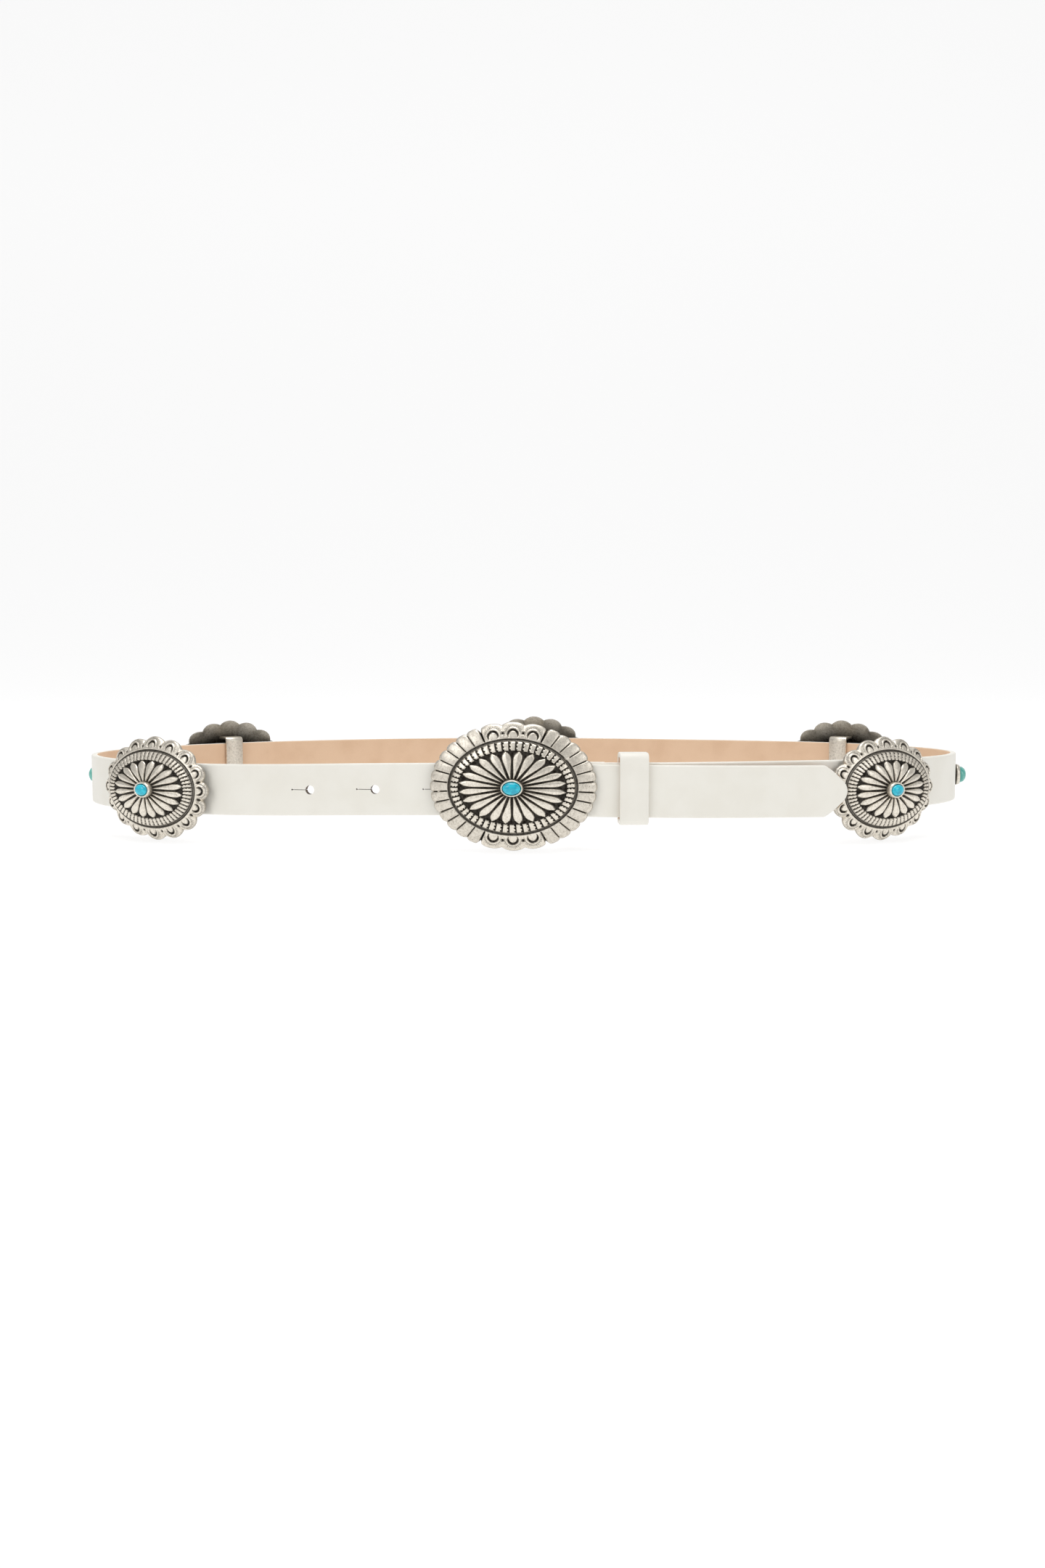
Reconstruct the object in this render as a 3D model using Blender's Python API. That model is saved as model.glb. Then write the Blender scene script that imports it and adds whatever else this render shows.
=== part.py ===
# A concho belt, fastened and standing on its edge: a narrow leather strap in a
# closed loop, an oval stamped buckle, five oval conchos and four small studs.
# Metres, +Z up, the buckle faces -Y, and the loop stands on the plane Z = 0.

import math

import bmesh
import bpy
import numpy as np
from mathutils import Matrix, Vector
from mathutils.bvhtree import BVHTree

MM = 0.001

# Clearances, and a distance beyond any plate's depth
PIECE_GAP = 0.3 * MM
LAYER_GAP = 0.4 * MM
BAR_PLAY = 0.5 * MM
FAR_OUT = 100.0 * MM

# Strap
STRAP_WIDTH = 20.0 * MM
STRAP_THICKNESS = 2.6 * MM
SECTION_STEP = 8.0 * MM
LOOP_WIDTH = 373.0 * MM
LOOP_DEPTH = 187.0 * MM
STRAP_SEAT = 0.3 * MM
STRAP_RISE_SHARE = 0.587

# The strap's centre line seen from above, anticlockwise from the back centre.
# across is a share of half LOOP_WIDTH, back of LOOP_DEPTH, rise of the strap's
# own rise, which follows from the buckle's greater height.
LOOP_STATIONS = [
    # place, across, back, rise
    ("back centre", 0.030, 0.999, 0.0),
    ("back left stud", -0.280, 0.972, 0.0),
    ("before the back left concho", -0.564, 0.886, 0.0),
    ("past the back left concho", -0.820, 0.726, 0.0),
    ("left side", -0.985, 0.476, 0.0),
    ("front left concho", -0.864, 0.232, 0.0),
    ("past the front left concho", -0.603, 0.097, 0.1),
    ("left holes", -0.306, 0.038, 0.7),
    ("buckle", -0.006, 0.010, 1.0),
    ("keeper", 0.294, 0.008, 1.0),
    ("tail", 0.582, 0.082, 0.85),
    ("front right concho", 0.844, 0.222, 0.45),
    ("right side", 1.002, 0.486, 0.1),
    ("before the back right concho", 0.875, 0.744, 0.0),
    ("past the back right concho", 0.618, 0.880, 0.0),
    ("back right stud", 0.322, 0.954, 0.0),
]

# Where things sit along the strap. The pitch is a share of the loop's length.
CONCHO_PITCH_SHARE = 0.16725
BUCKLE_OFF_MIDDLE = -2.2 * MM
POST_FROM_BUCKLE = -27.4 * MM
BAR_FROM_BUCKLE = 20.4 * MM
KEEPER_FROM_BUCKLE = 45.1 * MM
TIP_OVER_CONCHO = 4.6 * MM

# Free end
TIP_LENGTH = 9.4 * MM
TIP_WIDTH = 6.0 * MM
TAIL_DROOP = 1.4 * MM
TAIL_LIFT = 6.2 * MM
LIFT_LENGTH = 80.0 * MM
LIFT_CURVE = 1.5
STEP_OUT_LENGTH = 95.0 * MM

# Fixed end, folded round the buckle's bar
BAR_THICKNESS = 2.2 * MM
BAR_LEG_WIDTH = 2.64 * MM
FOLD_RETURN = 14.0 * MM
FOLD_RETURN_STEPS = 4
FOLD_PINCH_SHARE = 0.8
FOLD_BEND_STEPS = 9

# Keyhole holes
HOLE_COUNT = 5
HOLE_SPACING = 26.0 * MM
HOLE_DIAMETER = 3.5 * MM
SLIT_WIDTH = 0.8 * MM
SLIT_REACH = 7.2 * MM
SLIT_END_DIAMETER = 1.4 * MM
HOLE_POINTS = 14
SLIT_END_POINTS = 7

# Keeper
KEEPER_WIDTH = 11.0 * MM
KEEPER_HEIGHT = 27.4 * MM
KEEPER_WALL = 2.0 * MM
KEEPER_CORNER = 2.6 * MM

# Studs on the strap
STUD_DIAMETER = 9.0 * MM
STUD_CUP_HEIGHT = 1.7 * MM
STUD_CUP_FLOOR = 0.68 * MM
STUD_CUP_TAPER = 0.3 * MM
STUD_STONE_DIAMETER = 7.0 * MM
STUD_STONE_HEIGHT = 4.5 * MM

# Buckle post
POST_DIAMETER = 2.8 * MM
POST_HEAD_DIAMETER = 5.2 * MM
POST_HEAD_HEIGHT = 1.2 * MM

# Oval plates: the outline's length and height, the metal, and the dome
CONCHO = {
    "length": 54.0 * MM,
    "height": 41.5 * MM,
    "metal": 1.2 * MM,
    "dome": 7.6 * MM,
    "stone_length": 6.0 * MM,
    "stone_height": 4.3 * MM,
    "stone_rise": 1.3 * MM,
    "bezel_wall": 0.8 * MM,
    "bezel_height": 1.8 * MM,
    "petals": 20,
    "petal_relief": 0.7 * MM,
}
BUCKLE = {
    "length": 63.5 * MM,
    "height": 49.0 * MM,
    "metal": 1.4 * MM,
    "dome": 8.0 * MM,
    "stone_length": 7.0 * MM,
    "stone_height": 4.9 * MM,
    "stone_rise": 1.5 * MM,
    "bezel_wall": 0.8 * MM,
    "bezel_height": 2.0 * MM,
    "petals": 24,
    "petal_relief": 0.8 * MM,
}

# Rings of a plate from the petals outward. across and up are shares of the
# plate's half length and half height, rise of its dome.
PLATE_RINGS = [
    # place, across, up, rise
    ("petal middle", 0.42, 0.34, 0.93),
    ("petal end", 0.66, 0.53, 0.76),
    ("field edge", 0.68, 0.55, 0.70),
    ("band outer", 0.80, 0.715, 0.56),
    ("groove", 0.83, 0.745, 0.42),
    ("flange", 0.86, 0.78, 0.48),
]
PLATE_BACK_RINGS = [
    # place, across, up, rise
    ("flange", 0.86, 0.78, 0.48),
    ("hollow", 0.42, 0.34, 0.93),
]
SKIN_SHARE = 0.2
CUP_FLOOR_SHARE = 0.1

# Back loop of a concho, a flat staple that the strap runs through
STAPLE_WIDTH = 8.3 * MM
STAPLE_METAL = 1.2 * MM
STAPLE_HALF_OPENING = 12.0 * MM

# Edge of a concho
SCALLOPS = 16
SCALLOP_POINTS = 4
SCALLOP_DEPTH = 0.085

# Edge of the buckle: a fan of rays at each end, scallops above and below
RAYS = 13
RAY_POINTS = 3
RAY_DEPTH = 0.028
RAY_FAN_TURN = math.radians(130.0)
TOP_SCALLOPS = 3
TOP_SCALLOP_POINTS = 5
TOP_SCALLOP_DEPTH = 0.045
FAN_NOTCH_DEPTH = 0.075

SILVER = {"colour": (0.56, 0.54, 0.50, 1.0), "roughness": 0.38, "metallic": 1.0}
TURQUOISE = {"colour": (0.02, 0.40, 0.58, 1.0), "roughness": 0.28, "metallic": 0.0}
GREEN_TURQUOISE = {"colour": (0.13, 0.50, 0.44, 1.0), "roughness": 0.3, "metallic": 0.0}
WHITE_LEATHER = {"colour": (0.82, 0.79, 0.74, 1.0), "roughness": 0.5, "metallic": 0.0}


def remove_objects():
    for item in list(bpy.data.objects):
        bpy.data.objects.remove(item, do_unlink=True)


def make_material(name, look):
    material = bpy.data.materials.new(name)
    material.use_nodes = True
    shader = material.node_tree.nodes["Principled BSDF"]
    shader.inputs["Base Color"].default_value = look["colour"]
    shader.inputs["Roughness"].default_value = look["roughness"]
    shader.inputs["Metallic"].default_value = look["metallic"]
    return material


def add_object(name, mesh, look=None, matrix=None):
    item = bpy.data.objects.new(name, mesh)
    bpy.context.scene.collection.objects.link(item)
    if look is not None:
        mesh.materials.clear()
        mesh.materials.append(make_material(name, look))
    if matrix is not None:
        item.matrix_world = matrix
    return item


def add_cutter(name, mesh, matrix=None):
    item = add_object(name, mesh, None, matrix)
    item.hide_render = True
    item.display_type = "WIRE"
    return item


def finish_mesh(name, bm, smooth_angle=None):
    bmesh.ops.recalc_face_normals(bm, faces=bm.faces)
    mesh = bpy.data.meshes.new(name)
    bm.to_mesh(mesh)
    bm.free()
    if smooth_angle is not None:
        mesh.shade_smooth()
        mesh.set_sharp_from_angle(angle=math.radians(smooth_angle))
    return mesh


def smooth_step(share):
    share = min(max(share, 0.0), 1.0)
    return share * share * (3.0 - 2.0 * share)


# Loop of the strap, as a closed spline through the stations


def strap_rise():
    return STRAP_RISE_SHARE * (BUCKLE["height"] - CONCHO["height"]) / 2


class Loop:
    def __init__(self, points_between=40):
        half = LOOP_WIDTH / 2
        top = strap_rise()
        knots = [
            (across * half, back * LOOP_DEPTH, rise * top)
            for place, across, back, rise in LOOP_STATIONS
        ]
        knots = np.array(knots)
        count = len(knots)
        after = np.roll(knots, -1, axis=0)
        before = np.roll(knots, 1, axis=0)
        system = 4.0 * np.eye(count)
        system += np.roll(np.eye(count), 1, axis=1) + np.roll(np.eye(count), -1, axis=1)
        bend = np.linalg.solve(system, 6.0 * (after - 2.0 * knots + before))
        bend_after = np.roll(bend, -1, axis=0)
        share = np.linspace(0.0, 1.0, points_between, endpoint=False)[None, :, None]
        rest = 1.0 - share
        rows = (
            rest * knots[:, None]
            + share * after[:, None]
            + ((rest**3 - rest) * bend[:, None] + (share**3 - share) * bend_after[:, None]) / 6.0
        )
        self.points = rows.reshape(-1, 3)
        step = np.roll(self.points, -1, axis=0) - self.points
        lengths = np.hypot(step[:, 0], step[:, 1])
        self.travel = np.concatenate([[0.0], np.cumsum(lengths)])
        self.length = float(self.travel[-1])

    def point(self, travel):
        closed = np.vstack([self.points, self.points[:1]])
        travel = travel % self.length
        return np.array([np.interp(travel, self.travel, closed[:, k]) for k in range(3)])

    def outward(self, travel):
        reach = 2.0 * MM
        along = self.point(travel + reach) - self.point(travel - reach)
        along = along[:2] / math.hypot(along[0], along[1])
        return Vector((along[1], -along[0], 0.0))

    def place(self, travel, offset, height):
        across, back, _ = self.point(travel)
        spot = Vector((across, back, height)) + self.outward(travel) * offset
        return spot

    def frame(self, travel, offset, height):
        # local X runs along the strap, local Z points out of the loop, local Y is up
        out = self.outward(travel)
        up = Vector((0.0, 0.0, 1.0))
        along = up.cross(out)
        turn = Matrix((along, up, out)).transposed().to_4x4()
        return Matrix.Translation(self.place(travel, offset, height)) @ turn


def concho_level():
    return CONCHO["height"] / 2


def strap_level(loop, travel):
    return concho_level() + STRAP_SEAT + loop.point(travel)[2]


def concho_pitch(loop):
    return CONCHO_PITCH_SHARE * loop.length


def buckle_travel(loop):
    return loop.length / 2 + BUCKLE_OFF_MIDDLE


def post_travel(loop):
    return buckle_travel(loop) + POST_FROM_BUCKLE


def tip_travel(loop):
    concho = loop.length - 2 * concho_pitch(loop)
    return concho - CONCHO["length"] / 2 + TIP_OVER_CONCHO


def layer_spacing():
    return STRAP_THICKNESS + LAYER_GAP


def fold_radius():
    return BAR_THICKNESS / 2 + PIECE_GAP + STRAP_THICKNESS / 2


# Strap


def outer_layer_offset(loop, travel):
    # steps out over the folded end before the buckle, then lifts over the concho
    buckle = buckle_travel(loop)
    tip = tip_travel(loop)
    offset = layer_spacing() * smooth_step((travel - buckle) / STEP_OUT_LENGTH + 1.0)
    lift_share = max(0.0, (travel - tip) / LIFT_LENGTH + 1.0)
    return offset + TAIL_LIFT * lift_share**LIFT_CURVE


def tail_droop(loop, travel):
    post = post_travel(loop)
    return TAIL_DROOP * smooth_step((travel - post) / (tip_travel(loop) - post))


def strap_path(loop):
    # each section: travel along the loop, offset outward, height, width
    buckle = buckle_travel(loop)
    bar = buckle + BAR_FROM_BUCKLE
    tip = tip_travel(loop)
    radius = fold_radius()
    rows = []
    for share in np.linspace(1.0, 0.0, FOLD_RETURN_STEPS):
        pinch = smooth_step(share / FOLD_PINCH_SHARE)
        gap = 2 * radius * (1.0 - pinch) + layer_spacing() * pinch
        rows.append((bar + share * FOLD_RETURN, -gap))
    for angle in np.linspace(-90.0, 90.0, FOLD_BEND_STEPS)[1:-1]:
        turn = math.radians(angle)
        back_off = radius * math.cos(turn)
        rows.append((bar - back_off, -radius + radius * math.sin(turn)))
    sections = []
    level = strap_level(loop, bar)
    for travel, offset in rows:
        sections.append((travel, offset, level, STRAP_WIDTH))
    end = loop.length + tip - TIP_LENGTH
    steps = round((end - bar) / SECTION_STEP)
    for travel in np.linspace(bar, end, steps + 1):
        offset = 0.0
        droop = 0.0
        if travel > loop.length:
            offset = outer_layer_offset(loop, travel - loop.length)
            droop = tail_droop(loop, travel - loop.length)
        level = strap_level(loop, travel) - droop
        sections.append((travel, offset, level, STRAP_WIDTH))
    tip_offset = outer_layer_offset(loop, tip)
    tip_level = strap_level(loop, tip) - TAIL_DROOP
    sections.append((loop.length + tip, tip_offset, tip_level, TIP_WIDTH))
    return sections


def ribbon_mesh(loop, sections):
    bm = bmesh.new()
    half = STRAP_THICKNESS / 2
    middle = []
    for travel, offset, level, width in sections:
        middle.append(loop.place(travel, offset, level))
    rings = []
    for index, (travel, offset, level, width) in enumerate(sections):
        before = middle[max(index - 1, 0)]
        after = middle[min(index + 1, len(middle) - 1)]
        along = after - before
        along.z = 0.0
        along.normalize()
        out = Vector((along.y, -along.x, 0.0))
        ring = []
        for side, lift in ((1, 1), (-1, 1), (-1, -1), (1, -1)):
            spot = middle[index] + out * (side * half)
            spot.z += lift * width / 2
            ring.append(bm.verts.new(spot))
        rings.append(ring)
    for ring, following in zip(rings, rings[1:]):
        for k in range(4):
            m = (k + 1) % 4
            bm.faces.new((ring[k], ring[m], following[m], following[k]))
    bm.faces.new(rings[0])
    bm.faces.new(rings[-1])
    return finish_mesh("strap", bm)


def keyhole_outline():
    # a round hole with a slit toward the front left, ended by a small round hole
    points = []
    radius = HOLE_DIAMETER / 2
    mouth = math.asin(SLIT_WIDTH / HOLE_DIAMETER)
    for angle in np.linspace(-math.pi + mouth, math.pi - mouth, HOLE_POINTS):
        points.append((radius * math.cos(angle), radius * math.sin(angle)))
    end_radius = SLIT_END_DIAMETER / 2
    end_mouth = math.asin(SLIT_WIDTH / SLIT_END_DIAMETER)
    for angle in np.linspace(end_mouth, 2 * math.pi - end_mouth, SLIT_END_POINTS):
        points.append((-SLIT_REACH + end_radius * math.cos(angle), end_radius * math.sin(angle)))
    return points


def keyhole_cutter_mesh():
    bm = bmesh.new()
    reach = STRAP_THICKNESS
    bottom = [bm.verts.new((x, y, -reach)) for x, y in keyhole_outline()]
    base = bm.faces.new(bottom)
    grown = bmesh.ops.extrude_face_region(bm, geom=[base])
    top = [part for part in grown["geom"] if isinstance(part, bmesh.types.BMVert)]
    bmesh.ops.translate(bm, verts=top, vec=(0.0, 0.0, 2 * reach))
    return finish_mesh("keyhole_cutter", bm)


def make_strap(loop):
    strap = add_object("strap", ribbon_mesh(loop, strap_path(loop)), WHITE_LEATHER)
    cutter_mesh = keyhole_cutter_mesh()
    middle = HOLE_COUNT // 2
    for index in range(HOLE_COUNT):
        travel = post_travel(loop) + (index - middle) * HOLE_SPACING
        offset = outer_layer_offset(loop, travel)
        level = strap_level(loop, travel) - tail_droop(loop, travel)
        place = loop.frame(travel, offset, level)
        cutter = add_cutter(f"keyhole_cutter_{index + 1}", cutter_mesh, place)
        cut = strap.modifiers.new(f"keyhole {index + 1}", "BOOLEAN")
        cut.operation = "DIFFERENCE"
        cut.solver = "EXACT"
        cut.object = cutter


# Keeper


def rounded_box_outline(width, height, corner, corner_points=4):
    points = []
    middles = ((1, 1), (-1, 1), (-1, -1), (1, -1))
    for quarter, (side, lift) in enumerate(middles):
        for k in range(corner_points):
            angle = math.radians(90 * quarter + 90 * k / (corner_points - 1))
            points.append(
                (
                    side * (width / 2 - corner) + corner * math.cos(angle),
                    lift * (height / 2 - corner) + corner * math.sin(angle),
                )
            )
    return points


def make_keeper(loop):
    travel = buckle_travel(loop) + KEEPER_FROM_BUCKLE
    inner_depth = 2 * STRAP_THICKNESS + LAYER_GAP + 2 * (PIECE_GAP + LAYER_GAP / 2)
    middle_offset = layer_spacing() / 2
    outer = rounded_box_outline(inner_depth + 2 * KEEPER_WALL, KEEPER_HEIGHT, KEEPER_CORNER)
    inner = rounded_box_outline(
        inner_depth, KEEPER_HEIGHT - 2 * KEEPER_WALL, KEEPER_CORNER - KEEPER_WALL
    )
    bm = bmesh.new()
    rings = []
    for along in (-KEEPER_WIDTH / 2, KEEPER_WIDTH / 2):
        for outline in (outer, inner):
            rings.append([bm.verts.new((along, up, out)) for out, up in outline])
    pairs = ((0, 1), (1, 3), (3, 2), (2, 0))
    for first, second in pairs:
        for k in range(len(outer)):
            m = (k + 1) % len(outer)
            a, b = rings[first], rings[second]
            bm.faces.new((a[k], a[m], b[m], b[k]))
    level = strap_level(loop, travel) + STRAP_SEAT
    matrix = loop.frame(travel, middle_offset, level)
    add_object("keeper", finish_mesh("keeper", bm, 35), WHITE_LEATHER, matrix)


# Oval plates


def concho_edge():
    # turn of each edge point and how far out it lies, one round lobe per scallop
    edge = []
    count = SCALLOPS * SCALLOP_POINTS
    for k in range(count):
        place = 2.0 * (k % SCALLOP_POINTS) / SCALLOP_POINTS
        if place > 1.0:
            place -= 2.0
        edge.append((2 * math.pi * k / count, 1.0 - SCALLOP_DEPTH * place**2))
    return edge


def lobe_run(start, width, lobes, points, depth):
    run = []
    for lobe in range(lobes):
        for k in range(points):
            share = k / points
            turn = start + width * (lobe + share) / lobes
            run.append((turn, 1.0 - depth * (2 * share - 1) ** 2))
    return run


def buckle_edge():
    fan = RAY_FAN_TURN
    gap = math.pi - fan
    rays = lobe_run(-fan / 2, fan, RAYS, RAY_POINTS, RAY_DEPTH)
    scallops = lobe_run(fan / 2, gap, TOP_SCALLOPS, TOP_SCALLOP_POINTS, TOP_SCALLOP_DEPTH)
    for run in (rays, scallops):
        run[0] = (run[0][0], 1.0 - FAN_NOTCH_DEPTH)
    edge = rays + scallops
    opposite = [(turn + math.pi, share) for turn, share in edge]
    return edge + opposite


def oval_ring(bm, half_length, half_height, rise, count, wave=None):
    ring = []
    for k in range(count):
        turn = 2 * math.pi * k / count
        out = rise
        if wave is not None and k % 2 == 1:
            out -= wave
        spot = (half_length * math.cos(turn), half_height * math.sin(turn), out)
        ring.append((turn, bm.verts.new(spot)))
    return ring


def edge_ring(bm, edge, half_length, half_height, rise):
    ring = []
    for turn, share in edge:
        spot = (share * half_length * math.cos(turn), share * half_height * math.sin(turn), rise)
        ring.append((turn, bm.verts.new(spot)))
    return ring


def join_rings(bm, first, second):
    # closes the band between two rings of any number of points
    full = 2 * math.pi
    i = 0
    j = 0
    while i < len(first) or j < len(second):
        a = first[i % len(first)][1]
        b = second[j % len(second)][1]
        next_a = first[(i + 1) % len(first)]
        next_b = second[(j + 1) % len(second)]
        turn_a = next_a[0] + full * ((i + 1) // len(first))
        turn_b = next_b[0] + full * ((j + 1) // len(second))
        take_first = j >= len(second) or (i < len(first) and turn_a < turn_b - 1e-6)
        take_both = i < len(first) and j < len(second) and abs(turn_a - turn_b) <= 1e-6
        if take_both:
            bm.faces.new((a, next_a[1], next_b[1], b))
            i += 1
            j += 1
        elif take_first:
            bm.faces.new((a, next_a[1], b))
            i += 1
        else:
            bm.faces.new((a, next_b[1], b))
            j += 1


def close_ring(bm, ring, rise):
    middle = bm.verts.new((0.0, 0.0, rise))
    for k in range(len(ring)):
        bm.faces.new((middle, ring[k][1], ring[(k + 1) % len(ring)][1]))


def seat_rise(plate):
    return plate["dome"] + CUP_FLOOR_SHARE * plate["bezel_height"]


def plate_mesh(name, plate, edge):
    # a domed oval with a raised field of petals, a stone cup and an open back
    half_length = plate["length"] / 2
    half_height = plate["height"] / 2
    petals = plate["petals"]
    metal = plate["metal"]
    dome = plate["dome"]
    cup_length = plate["stone_length"] / 2 + PIECE_GAP
    cup_height = plate["stone_height"] / 2 + PIECE_GAP
    wall = plate["bezel_wall"]
    bm = bmesh.new()
    floor = seat_rise(plate)
    brim = dome + plate["bezel_height"]
    rings = [
        oval_ring(bm, cup_length, cup_height, floor, petals),
        oval_ring(bm, cup_length, cup_height, brim, petals),
        oval_ring(bm, cup_length + wall, cup_height + wall, brim, petals),
        oval_ring(bm, cup_length + wall, cup_height + wall, dome, petals),
    ]
    for place, across, up, rise in PLATE_RINGS:
        count = 2 * petals
        wave = plate["petal_relief"] if place == "petal middle" else None
        if place in ("flange", "groove", "band outer"):
            count = len(edge) // 2
        out = rise * dome + SKIN_SHARE * metal
        rings.append(oval_ring(bm, across * half_length, up * half_height, out, count, wave))
    rings.append(edge_ring(bm, edge, half_length, half_height, metal))
    rings.append(edge_ring(bm, edge, half_length, half_height, 0.0))
    for place, across, up, rise in PLATE_BACK_RINGS:
        out = rise * dome - metal
        rings.append(oval_ring(bm, across * half_length, up * half_height, out, petals))
    for first, second in zip(rings, rings[1:]):
        join_rings(bm, first, second)
    close_ring(bm, rings[0], floor)
    close_ring(bm, rings[-1], dome - metal)
    return finish_mesh(name, bm, 50)


def box_mesh(name, size, middle):
    bm = bmesh.new()
    matrix = Matrix.Translation(middle) @ Matrix.Diagonal((*size, 1.0))
    bmesh.ops.create_cube(bm, size=1.0, matrix=matrix)
    return finish_mesh(name, bm)


def rod_mesh(name, diameter, spot, bottom, top, sides=12):
    bm = bmesh.new()
    matrix = Matrix.Translation((spot.x, spot.y, (bottom + top) / 2))
    bmesh.ops.create_cone(
        bm,
        cap_ends=True,
        segments=sides,
        radius1=diameter / 2,
        radius2=diameter / 2,
        depth=top - bottom,
        matrix=matrix,
    )
    return finish_mesh(name, bm)


def joined_mesh(name, main_mesh, extra_meshes):
    # solders the extra shapes to the main one, as a single closed body
    main = add_cutter(name + "_blank", main_mesh)
    for index, mesh in enumerate(extra_meshes):
        extra = add_cutter(f"{name}_extra_{index + 1}", mesh)
        union = main.modifiers.new(f"solder {index + 1}", "BOOLEAN")
        union.operation = "UNION"
        union.solver = "EXACT"
        union.object = extra
    depsgraph = bpy.context.evaluated_depsgraph_get()
    mesh = bpy.data.meshes.new_from_object(main.evaluated_get(depsgraph))
    mesh.name = name
    return mesh


def metal_over(mesh, across, up):
    # half way into the metal of a plate, over a place on its back
    corners = [vertex.co for vertex in mesh.vertices]
    faces = [tuple(face.vertices) for face in mesh.polygons]
    tree = BVHTree.FromPolygons(corners, faces)
    back = tree.ray_cast(Vector((across, up, -FAR_OUT)), Vector((0.0, 0.0, 1.0)))[0]
    front = tree.ray_cast(Vector((across, up, FAR_OUT)), Vector((0.0, 0.0, -1.0)))[0]
    return (back.z + front.z) / 2


def upright_box(name, across, up, size_across, size_up, bottom, top):
    middle = (across, up, (top + bottom) / 2)
    return box_mesh(name, (size_across, size_up, top - bottom), middle)


def staple_meshes(plate):
    # a flat bar behind the strap, carried by two legs from the back of the dome
    opening = 2 * STAPLE_HALF_OPENING
    bar_top = -PIECE_GAP - STRAP_THICKNESS - BAR_PLAY
    bar_bottom = bar_top - STAPLE_METAL
    bar_length = opening + 2 * STAPLE_METAL
    meshes = [upright_box("staple_bar", 0.0, 0.0, STAPLE_WIDTH, bar_length, bar_bottom, bar_top)]
    leg_middle = STAPLE_HALF_OPENING + STAPLE_METAL / 2
    for side in (-1, 1):
        up = side * leg_middle
        top = metal_over(plate, 0.0, up)
        bottom = (bar_bottom + bar_top) / 2
        meshes.append(upright_box("staple_leg", 0.0, up, STAPLE_WIDTH, STAPLE_METAL, bottom, top))
    return meshes


def bar_meshes(plate, spot):
    # the bar inside the folded end of the strap, on a leg above and a leg below
    leg_from_bar = STRAP_WIDTH / 2 + PIECE_GAP + BAR_THICKNESS
    bar = rod_mesh("buckle_bar", BAR_THICKNESS, Vector(), -leg_from_bar, leg_from_bar)
    bar.transform(Matrix.Translation(spot) @ Matrix.Rotation(math.radians(90), 4, "X"))
    meshes = [bar]
    for side in (-1, 1):
        up = spot.y + side * leg_from_bar
        top = metal_over(plate, spot.x, up)
        bottom = spot.z - BAR_LEG_WIDTH / 2
        meshes.append(
            upright_box("buckle_leg", spot.x, up, BAR_LEG_WIDTH, BAR_THICKNESS, bottom, top)
        )
    return meshes


def post_meshes(plate, spot):
    # the post through the strap's hole, with a flat head behind the strap
    top = metal_over(plate, spot.x, spot.y)
    head_top = spot.z - STRAP_THICKNESS / 2 - PIECE_GAP
    head_bottom = head_top - POST_HEAD_HEIGHT
    return [
        rod_mesh("buckle_post", POST_DIAMETER, spot, (head_top + head_bottom) / 2, top),
        rod_mesh("buckle_post_head", POST_HEAD_DIAMETER, spot, head_bottom, head_top),
    ]


def stone_mesh(name, half_length, half_height, girdle, rise, sides, steps=3):
    # an upright girdle under a smooth dome
    bm = bmesh.new()
    rings = [oval_ring(bm, half_length, half_height, 0.0, sides)]
    for step in range(steps):
        angle = math.radians(90 * step / steps)
        shrink = math.cos(angle)
        out = girdle + rise * math.sin(angle)
        rings.append(oval_ring(bm, shrink * half_length, shrink * half_height, out, sides))
    for first, second in zip(rings, rings[1:]):
        join_rings(bm, first, second)
    close_ring(bm, rings[0], 0.0)
    close_ring(bm, rings[-1], girdle + rise)
    return finish_mesh(name, bm, 50)


def plate_stone_mesh(name, plate, sides=16):
    girdle = plate["dome"] + plate["bezel_height"] - seat_rise(plate) - 2 * PIECE_GAP
    return stone_mesh(
        name,
        plate["stone_length"] / 2,
        plate["stone_height"] / 2,
        girdle,
        plate["stone_rise"],
        sides,
    )


def make_plate_and_stone(loop, name, stone_name, mesh, stone, plate, travel, offset, level):
    matrix = loop.frame(travel, offset, level)
    add_object(name, mesh.copy(), SILVER, matrix)
    seat = matrix @ Matrix.Translation((0.0, 0.0, seat_rise(plate) + PIECE_GAP))
    add_object(stone_name, stone.copy(), TURQUOISE, seat)


def make_conchos(loop):
    plate = plate_mesh("concho_plate", CONCHO, concho_edge())
    mesh = joined_mesh("concho", plate, staple_meshes(plate))
    stone = plate_stone_mesh("concho_stone", CONCHO)
    offset = STRAP_THICKNESS / 2 + PIECE_GAP
    places = (
        ("back", 0),
        ("back_left", 1),
        ("front_left", 2),
        ("front_right", -2),
        ("back_right", -1),
    )
    for place, pitches in places:
        make_plate_and_stone(
            loop,
            "concho_" + place,
            "concho_stone_" + place,
            mesh,
            stone,
            CONCHO,
            pitches * concho_pitch(loop),
            offset,
            concho_level(),
        )


def make_buckle(loop):
    travel = buckle_travel(loop)
    level = BUCKLE["height"] / 2
    offset = layer_spacing() + STRAP_THICKNESS / 2 + PIECE_GAP
    to_plate = loop.frame(travel, offset, level).inverted()
    bar_travel = travel + BAR_FROM_BUCKLE
    bar = to_plate @ loop.place(bar_travel, -fold_radius(), strap_level(loop, bar_travel))
    post_at = post_travel(loop)
    post = to_plate @ loop.place(
        post_at, outer_layer_offset(loop, post_at), strap_level(loop, post_at)
    )
    plate = plate_mesh("buckle_plate", BUCKLE, buckle_edge())
    mesh = joined_mesh("buckle", plate, bar_meshes(plate, bar) + post_meshes(plate, post))
    stone = plate_stone_mesh("buckle_stone", BUCKLE)
    make_plate_and_stone(
        loop, "buckle", "buckle_stone", mesh, stone, BUCKLE, travel, offset, level
    )


# Studs


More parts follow.
